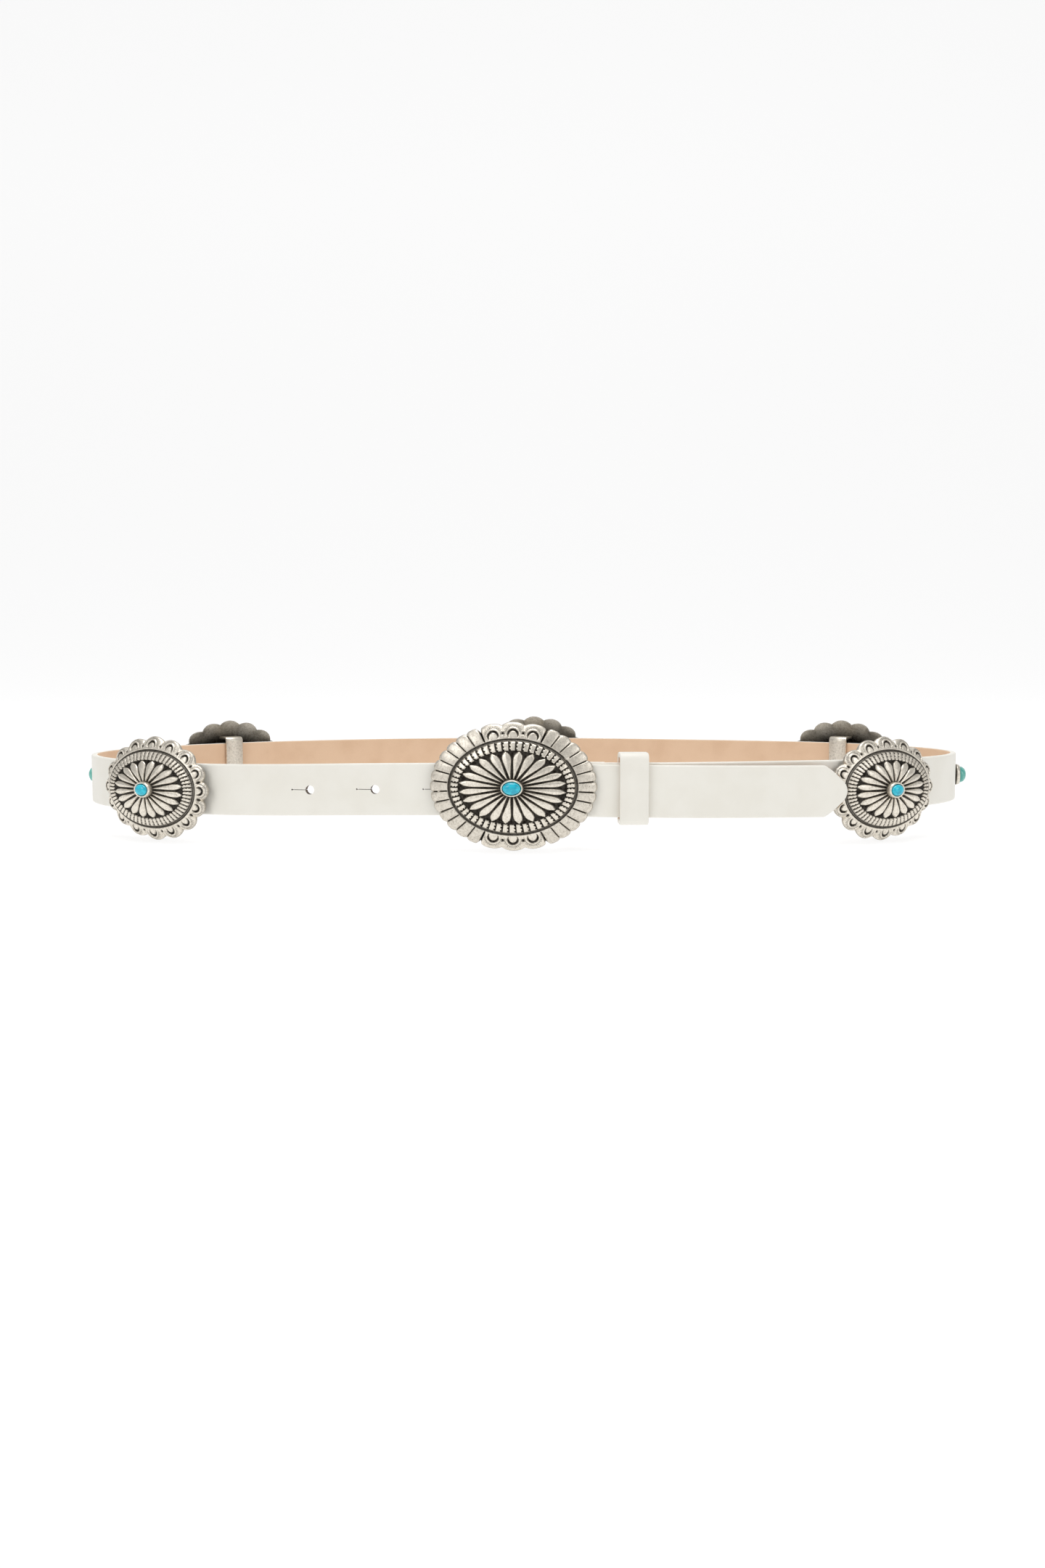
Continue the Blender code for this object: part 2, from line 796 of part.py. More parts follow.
def stud_cup_mesh(sides=20):
    bm = bmesh.new()
    outer = STUD_DIAMETER / 2
    inner = STUD_STONE_DIAMETER / 2 + PIECE_GAP
    brim = outer - STUD_CUP_TAPER
    rings = [
        oval_ring(bm, inner, inner, STUD_CUP_FLOOR, sides),
        oval_ring(bm, inner, inner, STUD_CUP_HEIGHT, sides),
        oval_ring(bm, brim, brim, STUD_CUP_HEIGHT, sides),
        oval_ring(bm, outer, outer, 0.0, sides),
    ]
    for first, second in zip(rings, rings[1:]):
        join_rings(bm, first, second)
    close_ring(bm, rings[0], STUD_CUP_FLOOR)
    close_ring(bm, rings[-1], 0.0)
    return finish_mesh("stud", bm, 50)


def make_studs(loop):
    cup = stud_cup_mesh()
    girdle = STUD_CUP_HEIGHT - STUD_CUP_FLOOR
    radius = STUD_STONE_DIAMETER / 2
    stone = stone_mesh("stud_stone", radius, radius, girdle, STUD_STONE_HEIGHT - girdle, 16)
    offset = STRAP_THICKNESS / 2 + PIECE_GAP
    places = (
        ("back_left", 0.5),
        ("left_side", 1.5),
        ("right_side", -1.5),
        ("back_right", -0.5),
    )
    for place, pitches in places:
        travel = pitches * concho_pitch(loop)
        matrix = loop.frame(travel, offset, strap_level(loop, travel))
        add_object("stud_" + place, cup.copy(), SILVER, matrix)
        seat = matrix @ Matrix.Translation((0.0, 0.0, STUD_CUP_FLOOR + PIECE_GAP))
        add_object("stud_stone_" + place, stone.copy(), GREEN_TURQUOISE, seat)


def stand_on_origin():
    # carries every piece on one empty, so that the belt stands centred on the origin
    bpy.context.view_layer.update()
    pieces = [item for item in bpy.data.objects if not item.hide_render]
    corners = [
        item.matrix_world @ vertex.co for item in pieces for vertex in item.data.vertices
    ]
    corners = np.array([tuple(corner) for corner in corners])
    low = corners.min(axis=0)
    high = corners.max(axis=0)
    belt = bpy.data.objects.new("belt", None)
    bpy.context.scene.collection.objects.link(belt)
    for item in list(bpy.data.objects):
        if item is not belt:
            item.parent = belt
    belt.location = (-(low[0] + high[0]) / 2, -(low[1] + high[1]) / 2, -low[2])


def main():
    remove_objects()
    loop = Loop()
    make_strap(loop)
    make_keeper(loop)
    make_buckle(loop)
    make_conchos(loop)
    make_studs(loop)
    stand_on_origin()
    bpy.context.view_layer.update()


main()
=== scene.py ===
import math

import bmesh
import bpy
import numpy as np
from mathutils import Matrix, Vector


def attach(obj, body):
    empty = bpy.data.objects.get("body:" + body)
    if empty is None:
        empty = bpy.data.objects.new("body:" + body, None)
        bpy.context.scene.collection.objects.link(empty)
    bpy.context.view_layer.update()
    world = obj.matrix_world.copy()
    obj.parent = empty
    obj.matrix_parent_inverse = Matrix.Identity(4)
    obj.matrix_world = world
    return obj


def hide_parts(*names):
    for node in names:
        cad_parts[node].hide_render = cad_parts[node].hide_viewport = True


# A concho belt standing on its edge: white leather strap, oval buckle, five conchos, four studs.

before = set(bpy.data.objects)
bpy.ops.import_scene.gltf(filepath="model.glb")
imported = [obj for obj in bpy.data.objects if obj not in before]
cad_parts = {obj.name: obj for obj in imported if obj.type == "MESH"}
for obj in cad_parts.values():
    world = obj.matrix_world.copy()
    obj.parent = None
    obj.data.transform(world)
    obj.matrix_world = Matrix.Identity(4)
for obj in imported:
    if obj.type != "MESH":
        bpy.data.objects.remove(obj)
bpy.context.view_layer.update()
print("frame:", len(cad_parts), "nodes")

mm = 0.001


# Helpers that every piece uses


def hexColour(code):  # sRGB hex to the linear values that shaders take
    parts = [int(code[i:i + 2], 16) / 255 for i in (1, 3, 5)]
    return (*[c / 12.92 if c <= 0.04045 else ((c + 0.055) / 1.055) ** 2.4 for c in parts], 1.0)


def addNode(tree, kind, settings=None, links=None):  # one node, its settings and its inputs
    node = tree.nodes.new(kind)
    for name, value in (settings or {}).items():
        setattr(node, name, value)
    for socket, value in (links or {}).items():
        if isinstance(value, bpy.types.NodeSocket):
            tree.links.new(value, node.inputs[socket])
        else:
            node.inputs[socket].default_value = value
    return node


class Reading:
    # a number that varies over the mesh, with ordinary arithmetic made of Math nodes

    def __init__(self, tree, socket):
        self.tree = tree
        self.socket = socket

    def math(self, operation, *others, flip=False):
        values = [self.socket] + [o.socket if isinstance(o, Reading) else o for o in others]
        if flip:
            values.reverse()
        node = addNode(self.tree, "ShaderNodeMath", {"operation": operation}, dict(enumerate(values)))
        return Reading(self.tree, node.outputs[0])

    def __add__(self, other):
        return self.math("ADD", other)

    __radd__ = __add__

    def __mul__(self, other):
        return self.math("MULTIPLY", other)

    __rmul__ = __mul__

    def __sub__(self, other):
        return self.math("SUBTRACT", other)

    def __rsub__(self, other):
        return self.math("SUBTRACT", other, flip=True)

    def __truediv__(self, other):
        return self.math("DIVIDE", other)

    def ease(self, low, high):  # 0 below low, 1 above high, smooth between
        node = addNode(
            self.tree, "ShaderNodeMapRange", {"interpolation_type": "SMOOTHSTEP"},
            {"Value": self.socket, "From Min": low, "From Max": high},
        )
        return Reading(self.tree, node.outputs[0])

    def curve(self, points):  # a drawn curve through the points
        node = addNode(self.tree, "ShaderNodeFloatCurve", {}, {"Value": self.socket})
        line = node.mapping.curves[0].points
        while len(line) < len(points):
            line.new(0.5, 0.5)
        for spot, place in zip(line, points):
            spot.location = place
        node.mapping.update()
        return Reading(self.tree, node.outputs[0])

    def fromMiddle(self, period):  # 0 in the middle of each period, 1 where two meet
        return (self.math("DIVIDE", period).math("FRACT") - 0.5).math("ABSOLUTE") * 2.0


def hypot(a, b):
    return (a * a + b * b).math("SQRT")


def addAttribute(mesh, name, values):
    mesh.attributes.new(name, "FLOAT", "POINT").data.foreach_set("value", np.asarray(values, np.float32))


def pointsOf(mesh):
    spots = np.empty(len(mesh.vertices) * 3)
    mesh.vertices.foreach_get("co", spots)
    return spots.reshape(-1, 3)


def ringFaces(rings, size, closed=False):  # quads between rings of points that follow each other
    faces = []
    for ring in range(rings if closed else rings - 1):
        here, there = ring * size, (ring + 1) % rings * size
        for k in range(size):
            m = (k + 1) % size
            faces.append((here + k, here + m, there + m, there + k))
    return faces


def tubeFaces(rings, size):  # the same with both ends closed
    last = (rings - 1) * size
    return ringFaces(rings, size) + [tuple(range(size))[::-1], tuple(range(last, last + size))]


def newMesh(name, spots, faces):
    mesh = bpy.data.meshes.new(name)
    mesh.from_pydata(spots, [], faces)
    return mesh


def turnOutward(mesh, bm=None):  # every face looks outward; bm is a shape still to be written to the mesh
    if bm is None:
        bm = bmesh.new()
        bm.from_mesh(mesh)
    bmesh.ops.recalc_face_normals(bm, faces=bm.faces)
    bm.to_mesh(mesh)
    bm.free()
    return mesh


def shade(mesh, degrees):  # smooth, apart from edges sharper than this
    mesh.shade_smooth()
    mesh.set_sharp_from_angle(angle=math.radians(degrees))


def addObject(name, data):
    thing = bpy.data.objects.new(name, data)
    bpy.context.scene.collection.objects.link(thing)
    return thing


def addPiece(name, mesh, replaced, material=None):
    piece = addObject(name, mesh)
    if material is not None:
        mesh.materials.clear()
        mesh.materials.append(material)
    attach(piece, "root")
    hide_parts(replaced)


def newTree(name, numbers):  # a Geometry Nodes tree with one named input for each size
    tree = bpy.data.node_groups.new(name, "GeometryNodeTree")
    tree.interface.new_socket("Geometry", in_out="INPUT", socket_type="NodeSocketGeometry")
    for label, value in numbers.items():
        tree.interface.new_socket(label, in_out="INPUT", socket_type="NodeSocketFloat").default_value = value
    tree.interface.new_socket("Geometry", in_out="OUTPUT", socket_type="NodeSocketGeometry")
    entry = addNode(tree, "NodeGroupInput")
    inputs = {label: Reading(tree, entry.outputs[label]) for label in numbers}
    return tree, entry.outputs["Geometry"], inputs


def runTree(mesh, tree, numbers):  # the tree's result as a plain mesh
    carrier = addObject("carrier", mesh)
    modifier = carrier.modifiers.new("shape", "NODES")
    modifier.node_group = tree
    for item in tree.interface.items_tree:
        if item.in_out == "INPUT" and item.name in numbers:
            modifier[item.identifier] = numbers[item.name]
    result = bpy.data.meshes.new_from_object(carrier.evaluated_get(bpy.context.evaluated_depsgraph_get()))
    carrier.modifiers.clear()
    bpy.data.objects.remove(carrier)
    return result


# Materials

# punched is the dark brown of the cut walls in the holes: bare leather, darkened with painted shade
leatherLook = {
    "coat": "#F0EDE4", "coatShade": "#E9E5DA", "flesh": "#E3C2A3", "fleshShade": "#D3AE8D", "punched": "#6E5A48",
    "grain": 0.55 * mm, "pore": 0.25 * mm, "cloud": 14 * mm, "bump": 0.05 * mm,
}
# the dark colour is the blackening left in the recesses, and also painted shade on the plates' backs and the studs'
# feet
silverLook = {
    "bright": "#F3ECDF", "worn": "#A89E8F", "oxide": "#1E1915", "pit": 0.3 * mm, "blotch": 0.9 * mm, "bump": 0.06 * mm,
}
stoneLook = {
    "blue": ("#26CCE2", "#10A6C2"), "green": ("#70BEB1", "#489F96"), "vein": "#2C5C62",
    "patch": 1.7 * mm, "veinSize": 1.3 * mm, "veinWidth": 0.014,
}


def layerColours(tree, colour, layers):  # each layer's colour over the ones before, by its factor
    colour = hexColour(colour) if isinstance(colour, str) else colour
    for factor, over in layers:
        mix = addNode(tree, "ShaderNodeMix", {"data_type": "RGBA"}, {
            "Factor": factor.socket, "A": colour, "B": hexColour(over) if isinstance(over, str) else over,
        })
        colour = mix.outputs["Result"]
    return colour


def readAttribute(tree, name):
    return Reading(tree, addNode(tree, "ShaderNodeAttribute", {"attribute_name": name}).outputs["Fac"])


def newMaterial(name, values, noises=()):  # each noise: its size, its detail and other inputs
    material = bpy.data.materials.new(name)
    material.use_nodes = True
    tree = material.node_tree
    for label, value in values.items():
        tree.nodes["Principled BSDF"].inputs[label].default_value = value
    place = addNode(tree, "ShaderNodeTexCoord").outputs["Object"]
    fields = []
    for size, detail, more in noises:
        links = {"Vector": place, "Scale": 1 / size, "Detail": detail, **more}
        fields.append(Reading(tree, addNode(tree, "ShaderNodeTexNoise", {}, links).outputs["Fac"]))
    return material, tree, place, fields


def finishMaterial(tree, colour, roughness, height=None, strength=0.0, depth=0.0):
    shader = tree.nodes["Principled BSDF"]
    tree.links.new(colour, shader.inputs["Base Color"])
    tree.links.new(roughness.socket, shader.inputs["Roughness"])
    if height is not None:
        bump = addNode(tree, "ShaderNodeBump", {}, {"Height": height, "Strength": strength, "Distance": depth})
        tree.links.new(bump.outputs["Normal"], shader.inputs["Normal"])


def antiqueSilver():
    # zinc alloy casting, silver plated, blackened and rubbed back: bright on the raised work,
    # near black in the recesses, finely pitted between
    material, tree, _, (pits, blotches) = newMaterial("antiqueSilver", {"Roughness": 0.45, "Metallic": 1.0}, [
        (silverLook["pit"], 3.0, {"Roughness": 0.62}), (silverLook["blotch"], 2.0, {}),
    ])
    pit, blotch = pits.ease(0.47, 0.74), blotches.ease(0.35, 0.75)
    worn = pit * (blotch * 0.35 + 0.35) + blotch * 0.3
    # the reading is the blackening left in the recesses, plus painted shade in the hollow backs of the plates and at
    # the foot of each stud cup
    dark = readAttribute(tree, "oxide") * (blotch * 0.06 + 0.96) + pit * 0.05 - 0.02
    dark = dark.math("MINIMUM", 1.0).math("MAXIMUM", 0.0)
    colour = layerColours(tree, silverLook["bright"], [(worn, silverLook["worn"]), (dark, silverLook["oxide"])])
    finishMaterial(tree, colour, dark * 0.2 + pit * 0.14 + 0.38, pits.socket, 0.5, silverLook["bump"])
    return material


def coatedLeather():
    # vegetable tanned leather, white pigment coat on the grain side and both edges, bare flesh
    # side inside: smooth satin with a faint pebble outside, matt and fibrous tan inside, and
    # a dark brown on the cut walls of the punched holes: bare leather there, darkened further as painted shade in the
    # narrow slits
    material, tree, place, (fibre, clouds) = newMaterial("coatedLeather", {"Roughness": 0.45}, [
        (leatherLook["pore"], 4.0, {"Roughness": 0.65}), (leatherLook["cloud"], 3.0, {}),
    ])
    cells = addNode(tree, "ShaderNodeTexVoronoi", {}, {"Vector": place, "Scale": 1 / leatherLook["grain"]})
    flesh = readAttribute(tree, "flesh")
    cloud = clouds.ease(0.35, 0.7)
    coat = layerColours(tree, leatherLook["coat"], [(cloud * 0.5, leatherLook["coatShade"])])
    shaded = cloud * 0.45 + fibre.ease(0.4, 0.75) * 0.3
    bare = layerColours(tree, leatherLook["flesh"], [(shaded, leatherLook["fleshShade"])])
    # the cut walls take the punched colour, partly bare leather and partly painted shade in the slits
    colour = layerColours(tree, coat, [(flesh, bare), (readAttribute(tree, "cut"), leatherLook["punched"])])
    grain = Reading(tree, cells.outputs["Distance"]) * (1.0 - flesh) + fibre * (flesh * 1.4 + 0.25)
    finishMaterial(tree, colour, flesh * 0.4 + fibre * 0.1 + 0.38, grain.socket, 0.35, leatherLook["bump"])
    return material


def turquoise(name, tones):
    # turquoise cabochon, cut and polished: waxy gloss, soft patches and thin dark veins
    polish = {"Roughness": 0.22, "Coat Weight": 0.35, "Coat Roughness": 0.08}
    material, tree, _, (patches, bent) = newMaterial(name, polish, [
        (stoneLook["patch"], 3.0, {}), (stoneLook["veinSize"], 2.0, {"Distortion": 0.8}),
    ])
    patch = patches.ease(0.35, 0.68)
    vein = 1.0 - (bent - 0.5).math("ABSOLUTE").ease(0.0, stoneLook["veinWidth"])
    colour = layerColours(tree, tones[0], [(patch, tones[1]), (vein * 0.4, stoneLook["vein"])])
    finishMaterial(tree, colour, vein * 0.25 + 0.2)
    return material


silver = antiqueSilver()
leather = coatedLeather()
blueStone = turquoise("blueTurquoise", stoneLook["blue"])
greenStone = turquoise("greenTurquoise", stoneLook["green"])
print("materials: silver, leather, two turquoises")


# The loop that everything follows, in mm until it is placed

belt = {
    "width": 373.0, "depth": 187.0, "shift": (-1.6445, -92.5284, 0.0),
    "strapHeight": 20.0, "strapThickness": 2.6, "strapSeat": 0.3, "pieceGap": 0.3, "layerGap": 0.4,
    "riseShare": 0.587, "pitchShare": 0.16725, "tipOverConcho": 4.6,
    "buckleOffMiddle": -2.2, "postFromBuckle": -27.4, "barFromBuckle": 20.4, "keeperFromBuckle": 45.1,
    "conchoLength": 54.0, "conchoHeight": 41.5, "buckleHeight": 49.0,
    "tailDroop": 1.4, "tailLift": 6.2, "liftLength": 80.0, "stepOut": 95.0,
    "stations": [  # across as a share of half the width, back of the depth, rise of the strap's rise
        (0.030, 0.999, 0.0), (-0.280, 0.972, 0.0), (-0.564, 0.886, 0.0), (-0.820, 0.726, 0.0),
        (-0.985, 0.476, 0.0), (-0.864, 0.232, 0.0), (-0.603, 0.097, 0.1), (-0.306, 0.038, 0.7),
        (-0.006, 0.010, 1.0), (0.294, 0.008, 1.0), (0.582, 0.082, 0.85), (0.844, 0.222, 0.45),
        (1.002, 0.486, 0.1), (0.875, 0.744, 0.0), (0.618, 0.880, 0.0), (0.322, 0.954, 0.0),
    ],
}


def loopPoints(between=40):  # closed cubic spline through the stations
    rise = belt["riseShare"] * (belt["buckleHeight"] - belt["conchoHeight"]) / 2
    knots = np.array(belt["stations"]) * (belt["width"] / 2, belt["depth"], rise)
    count = len(knots)
    after, before = np.roll(knots, -1, axis=0), np.roll(knots, 1, axis=0)
    system = 4.0 * np.eye(count) + np.roll(np.eye(count), 1, axis=1) + np.roll(np.eye(count), -1, axis=1)
    bend = np.linalg.solve(system, 6.0 * (after - 2.0 * knots + before))
    bendAfter = np.roll(bend, -1, axis=0)
    share = np.linspace(0.0, 1.0, between, endpoint=False)[None, :, None]
    rest = 1.0 - share
    rows = rest * knots[:, None] + share * after[:, None]
    rows += ((rest**3 - rest) * bend[:, None] + (share**3 - share) * bendAfter[:, None]) / 6.0
    return rows.reshape(-1, 3)


loop = loopPoints()
steps = np.roll(loop, -1, axis=0) - loop
travels = np.concatenate([[0.0], np.cumsum(np.hypot(steps[:, 0], steps[:, 1]))])
loopLength = travels[-1]
closedLoop = np.vstack([loop, loop[:1]])
pitch = belt["pitchShare"] * loopLength
buckleAt = loopLength / 2 + belt["buckleOffMiddle"]
postAt = buckleAt + belt["postFromBuckle"]
barAt = buckleAt + belt["barFromBuckle"]
tipAt = loopLength - 2 * pitch - belt["conchoLength"] / 2 + belt["tipOverConcho"]
halfStrap = belt["strapThickness"] / 2
layers = belt["strapThickness"] + belt["layerGap"]


def loopPoint(travel):
    return np.array([np.interp(travel % loopLength, travels, closedLoop[:, k]) for k in range(3)])


def loopOut(travel):
    along = (loopPoint(travel + 2.0) - loopPoint(travel - 2.0))[:2]
    along = along / np.hypot(*along)
    return np.array([along[1], -along[0]])


def loopSpot(travel, offset, height):
    spot = loopPoint(travel)[:2] + loopOut(travel) * offset
    return np.array([spot[0], spot[1], height])


def loopMatrix(travel, offset, height):  # X along the strap, Y up, Z out of the loop, in metres
    out = Vector((*loopOut(travel), 0.0))
    up = Vector((0.0, 0.0, 1.0))
    turn = Matrix((up.cross(out), up, out)).transposed().to_4x4()
    spot = Vector(loopSpot(travel, offset, height) + belt["shift"]) * mm
    return Matrix.Translation(spot) @ turn @ Matrix.Scale(mm, 4)


def smoothStep(share):
    share = min(max(share, 0.0), 1.0)
    return share * share * (3.0 - 2.0 * share)


def strapLevel(travel):
    return belt["conchoHeight"] / 2 + belt["strapSeat"] + loopPoint(travel)[2]


def outerOffset(travel):  # the tail steps out over the folded end and lifts over the concho
    offset = layers * smoothStep((travel - buckleAt) / belt["stepOut"] + 1.0)
    return offset + belt["tailLift"] * max(0.0, (travel - tipAt) / belt["liftLength"] + 1.0) ** 1.5


def droop(travel):
    return belt["tailDroop"] * smoothStep((travel - postAt) / (tipAt - postAt))


print("loop: %.1f mm round" % loopLength)


# Strap

strapSizes = {
    "corner": 0.6, "step": 2.0, "barThickness": 2.2, "foldReturn": 14.0, "pinch": 0.8, "tipThinning": 0.2,
    "holes": 5, "holeSpacing": 26.0, "holeDiameter": 3.5, "slitWidth": 0.22, "slitReach": 7.2, "slitEnd": 0.6,
    "faceRows": (0.04, 0.2, 0.35, 0.5, 0.65, 0.8, 0.96), "cutterReach": 2.2, "fleshFrom": 0.85, "fleshBlend": 0.35,
}
# The tip's outline: distance from the end, half width
tipOutline = [(9.4, 10.0), (8.7, 9.75), (6.0, 7.9), (3.6, 5.8), (1.6, 3.9), (0.7, 2.7), (0.2, 1.5), (0.0, 0.7)]


def strapRows():  # centre line: travel, offset outward, level, half width, thickness share
    rows = []
    radius = strapSizes["barThickness"] / 2 + belt["pieceGap"] + halfStrap
    half = belt["strapHeight"] / 2
    level = strapLevel(barAt)
    for share in np.linspace(1.0, 0.0, 12):
        pinch = smoothStep(share / strapSizes["pinch"])
        gap = 2 * radius * (1.0 - pinch) + layers * pinch
        rows.append((barAt + share * strapSizes["foldReturn"], -gap, level, half, 1.0))
    for angle in np.radians(np.linspace(-90, 90, 21)[1:-1]):
        rows.append((barAt - radius * math.cos(angle), -radius + radius * math.sin(angle), level, half, 1.0))
    end = loopLength + tipAt - tipOutline[0][0]
    for travel in np.linspace(barAt, end, round((end - barAt) / strapSizes["step"]) + 1):
        offset = sag = 0.0
        if travel > loopLength:
            offset, sag = outerOffset(travel - loopLength), droop(travel - loopLength)
        rows.append((travel, offset, strapLevel(travel) - sag, half, 1.0))
    for distance, half in tipOutline[1:]:
        travel = tipAt - distance
        thickness = 1.0 - strapSizes["tipThinning"] * (1.0 - smoothStep(distance / 0.5))
        level = strapLevel(travel) - droop(travel)
        rows.append((travel + loopLength, outerOffset(travel), level, half, thickness))
    return rows


def roundCorners(half, height, corner, count):  # a list of points for each corner, anticlockwise
    corners = []
    for quarter, (side, lift) in enumerate(((1, 1), (-1, 1), (-1, -1), (1, -1))):
        corners.append([
            (side * (half - corner) + corner * math.cos(angle), lift * (height - corner) + corner * math.sin(angle))
            for angle in np.radians(np.linspace(90 * quarter, 90 * quarter + 90, count))
        ])
    return corners


def sectionOutline(height, half, corner):  # offset outward and height, anticlockwise
    corners = roundCorners(half, height, corner, 5)
    for quarter, side in ((1, -1), (3, 1)):  # rows across each face, closest beside the corners
        for share in strapSizes["faceRows"]:
            corners[quarter].append((side * half, side * (height - corner) * (2 * share - 1)))
    return sum(corners, [])


def strapMesh():
    rows = strapRows()
    middles = np.array([loopSpot(row[0], row[1], row[2]) for row in rows]) + belt["shift"]
    along = np.gradient(middles[:, :2], axis=0)
    along /= np.hypot(along[:, 0], along[:, 1])[:, None]
    outs = np.stack([along[:, 1], -along[:, 0]], axis=1)
    spots = []
    for index, row in enumerate(rows):
        for out, up in sectionOutline(row[3], halfStrap * row[4], strapSizes["corner"]):
            spot = middles[index] + (outs[index][0] * out, outs[index][1] * out, up)
            spots.append(spot * mm)
    mesh = turnOutward(newMesh("strap", spots, tubeFaces(len(rows), len(spots) // len(rows))))
    return mesh, middles[:, :2] * mm, outs


def keyholeCutter():  # a round hole and a slit towards the front left, ended by a pinprick
    points = []
    # each end: where its middle is, its diameter, its steps, and the turn of its mouth
    ends = ((0.0, strapSizes["holeDiameter"], 40, -math.pi), (-strapSizes["slitReach"], strapSizes["slitEnd"], 14, 0.0))
    for middle, diameter, count, mouthTurn in ends:
        mouth = math.asin(strapSizes["slitWidth"] / diameter)
        for angle in np.linspace(mouthTurn + mouth, mouthTurn + 2 * math.pi - mouth, count):
            points.append((middle + diameter / 2 * math.cos(angle), diameter / 2 * math.sin(angle)))
    reach = strapSizes["cutterReach"]
    bm = bmesh.new()
    base = bm.faces.new([bm.verts.new((x, y, -reach)) for x, y in points])
    grown = bmesh.ops.extrude_face_region(bm, geom=[base])["geom"]
    bmesh.ops.translate(bm, verts=[v for v in grown if isinstance(v, bmesh.types.BMVert)], vec=(0, 0, 2 * reach))
    return turnOutward(bpy.data.meshes.new("keyholeCutter"), bm)


def punchTree():  # cuts a keyhole at each mark, turned with the strap there
    tree, blank, given = newTree("punchKeyholes", {"Cutter Size": mm})
    for label in ("Marks", "Cutter"):
        tree.interface.new_socket(label, in_out="INPUT", socket_type="NodeSocketObject")
    entry = tree.nodes["Group Input"]
    marks = addNode(tree, "GeometryNodeObjectInfo", {}, {"Object": entry.outputs["Marks"]})
    cutter = addNode(tree, "GeometryNodeObjectInfo", {}, {"Object": entry.outputs["Cutter"]})
    walls = addNode(tree, "GeometryNodeStoreNamedAttribute", {"data_type": "FLOAT", "domain": "FACE"}, {
        "Geometry": cutter.outputs["Geometry"], "Name": "cut", "Value": 1.0,
    })
    facing = addNode(tree, "GeometryNodeInputNamedAttribute", {"data_type": "FLOAT_VECTOR"}, {"Name": "facing"})
    turn = addNode(tree, "FunctionNodeAxesToRotation", {"primary_axis": "Z", "secondary_axis": "Y"}, {
        "Primary Axis": facing.outputs["Attribute"], "Secondary Axis": (0.0, 0.0, 1.0),
    })
    points = addNode(tree, "GeometryNodeMeshToPoints", {}, {"Mesh": marks.outputs["Geometry"]})
    copies = addNode(tree, "GeometryNodeInstanceOnPoints", {}, {
        "Points": points.outputs["Points"], "Instance": walls.outputs["Geometry"], "Rotation": turn.outputs["Rotation"],
        "Scale": given["Cutter Size"].socket,
    })
    real = addNode(tree, "GeometryNodeRealizeInstances", {}, {"Geometry": copies.outputs["Instances"]})
    punched = addNode(tree, "GeometryNodeMeshBoolean", {"operation": "DIFFERENCE", "solver": "EXACT"}, {
        "Mesh 1": blank, "Mesh 2": real.outputs["Geometry"],
    })
    painted = addNode(tree, "GeometryNodeSetMaterial", {}, {"Geometry": punched.outputs["Mesh"], "Material": leather})
    addNode(tree, "NodeGroupOutput", {}, {"Geometry": painted.outputs["Geometry"]})
    return tree


def makeStrap():
    blank, middles, outs = strapMesh()
    marks = bpy.data.meshes.new("keyholeMarks")
    middle = strapSizes["holes"] // 2
    holeTravels = [postAt + (index - middle) * strapSizes["holeSpacing"] for index in range(strapSizes["holes"])]
    matrices = [loopMatrix(at, outerOffset(at), strapLevel(at) - droop(at)) for at in holeTravels]
    marks.from_pydata([matrix.to_translation() for matrix in matrices], [], [])
    facing = marks.attributes.new("facing", "FLOAT_VECTOR", "POINT")
    facing.data.foreach_set("vector", [part for matrix in matrices for part in matrix.to_3x3().col[2].normalized()])
    tools = [bpy.data.objects.new(mesh.name, mesh) for mesh in (marks, keyholeCutter())]
    mesh = runTree(blank, punchTree(), {"Cutter Size": mm, "Marks": tools[0], "Cutter": tools[1]})
    for tool in tools:
        bpy.data.objects.remove(tool)
    paintFlesh(mesh, middles, outs)
    shade(mesh, 50)
    mesh.name = "beltStrap"
    addPiece("beltStrap", mesh, "strap")
    print("strap:", len(mesh.polygons), "faces")


def paintFlesh(mesh, middles, outs):  # 1 on the bare inner side, 0 on the coated side and edges
    spots = pointsOf(mesh)[:, :2]
    values = np.empty(len(spots))
    for start in range(0, len(spots), 2000):
        part = spots[start:start + 2000]
        gaps = np.hypot(part[:, None, 0] - middles[None, :, 0], part[:, None, 1] - middles[None, :, 1])
        near = gaps.argmin(axis=1)
        offset = ((part - middles[near]) * outs[near]).sum(axis=1) / mm
        share = np.clip((-offset - strapSizes["fleshFrom"]) / strapSizes["fleshBlend"], 0.0, 1.0)
        values[start:start + 2000] = share * share * (3 - 2 * share)
    addAttribute(mesh, "flesh", values)


makeStrap()


# Keeper

keeperSizes = {"width": 11.0, "height": 27.4, "wall": 2.0, "corner": 2.6, "edge": 0.4, "cornerPoints": 9}


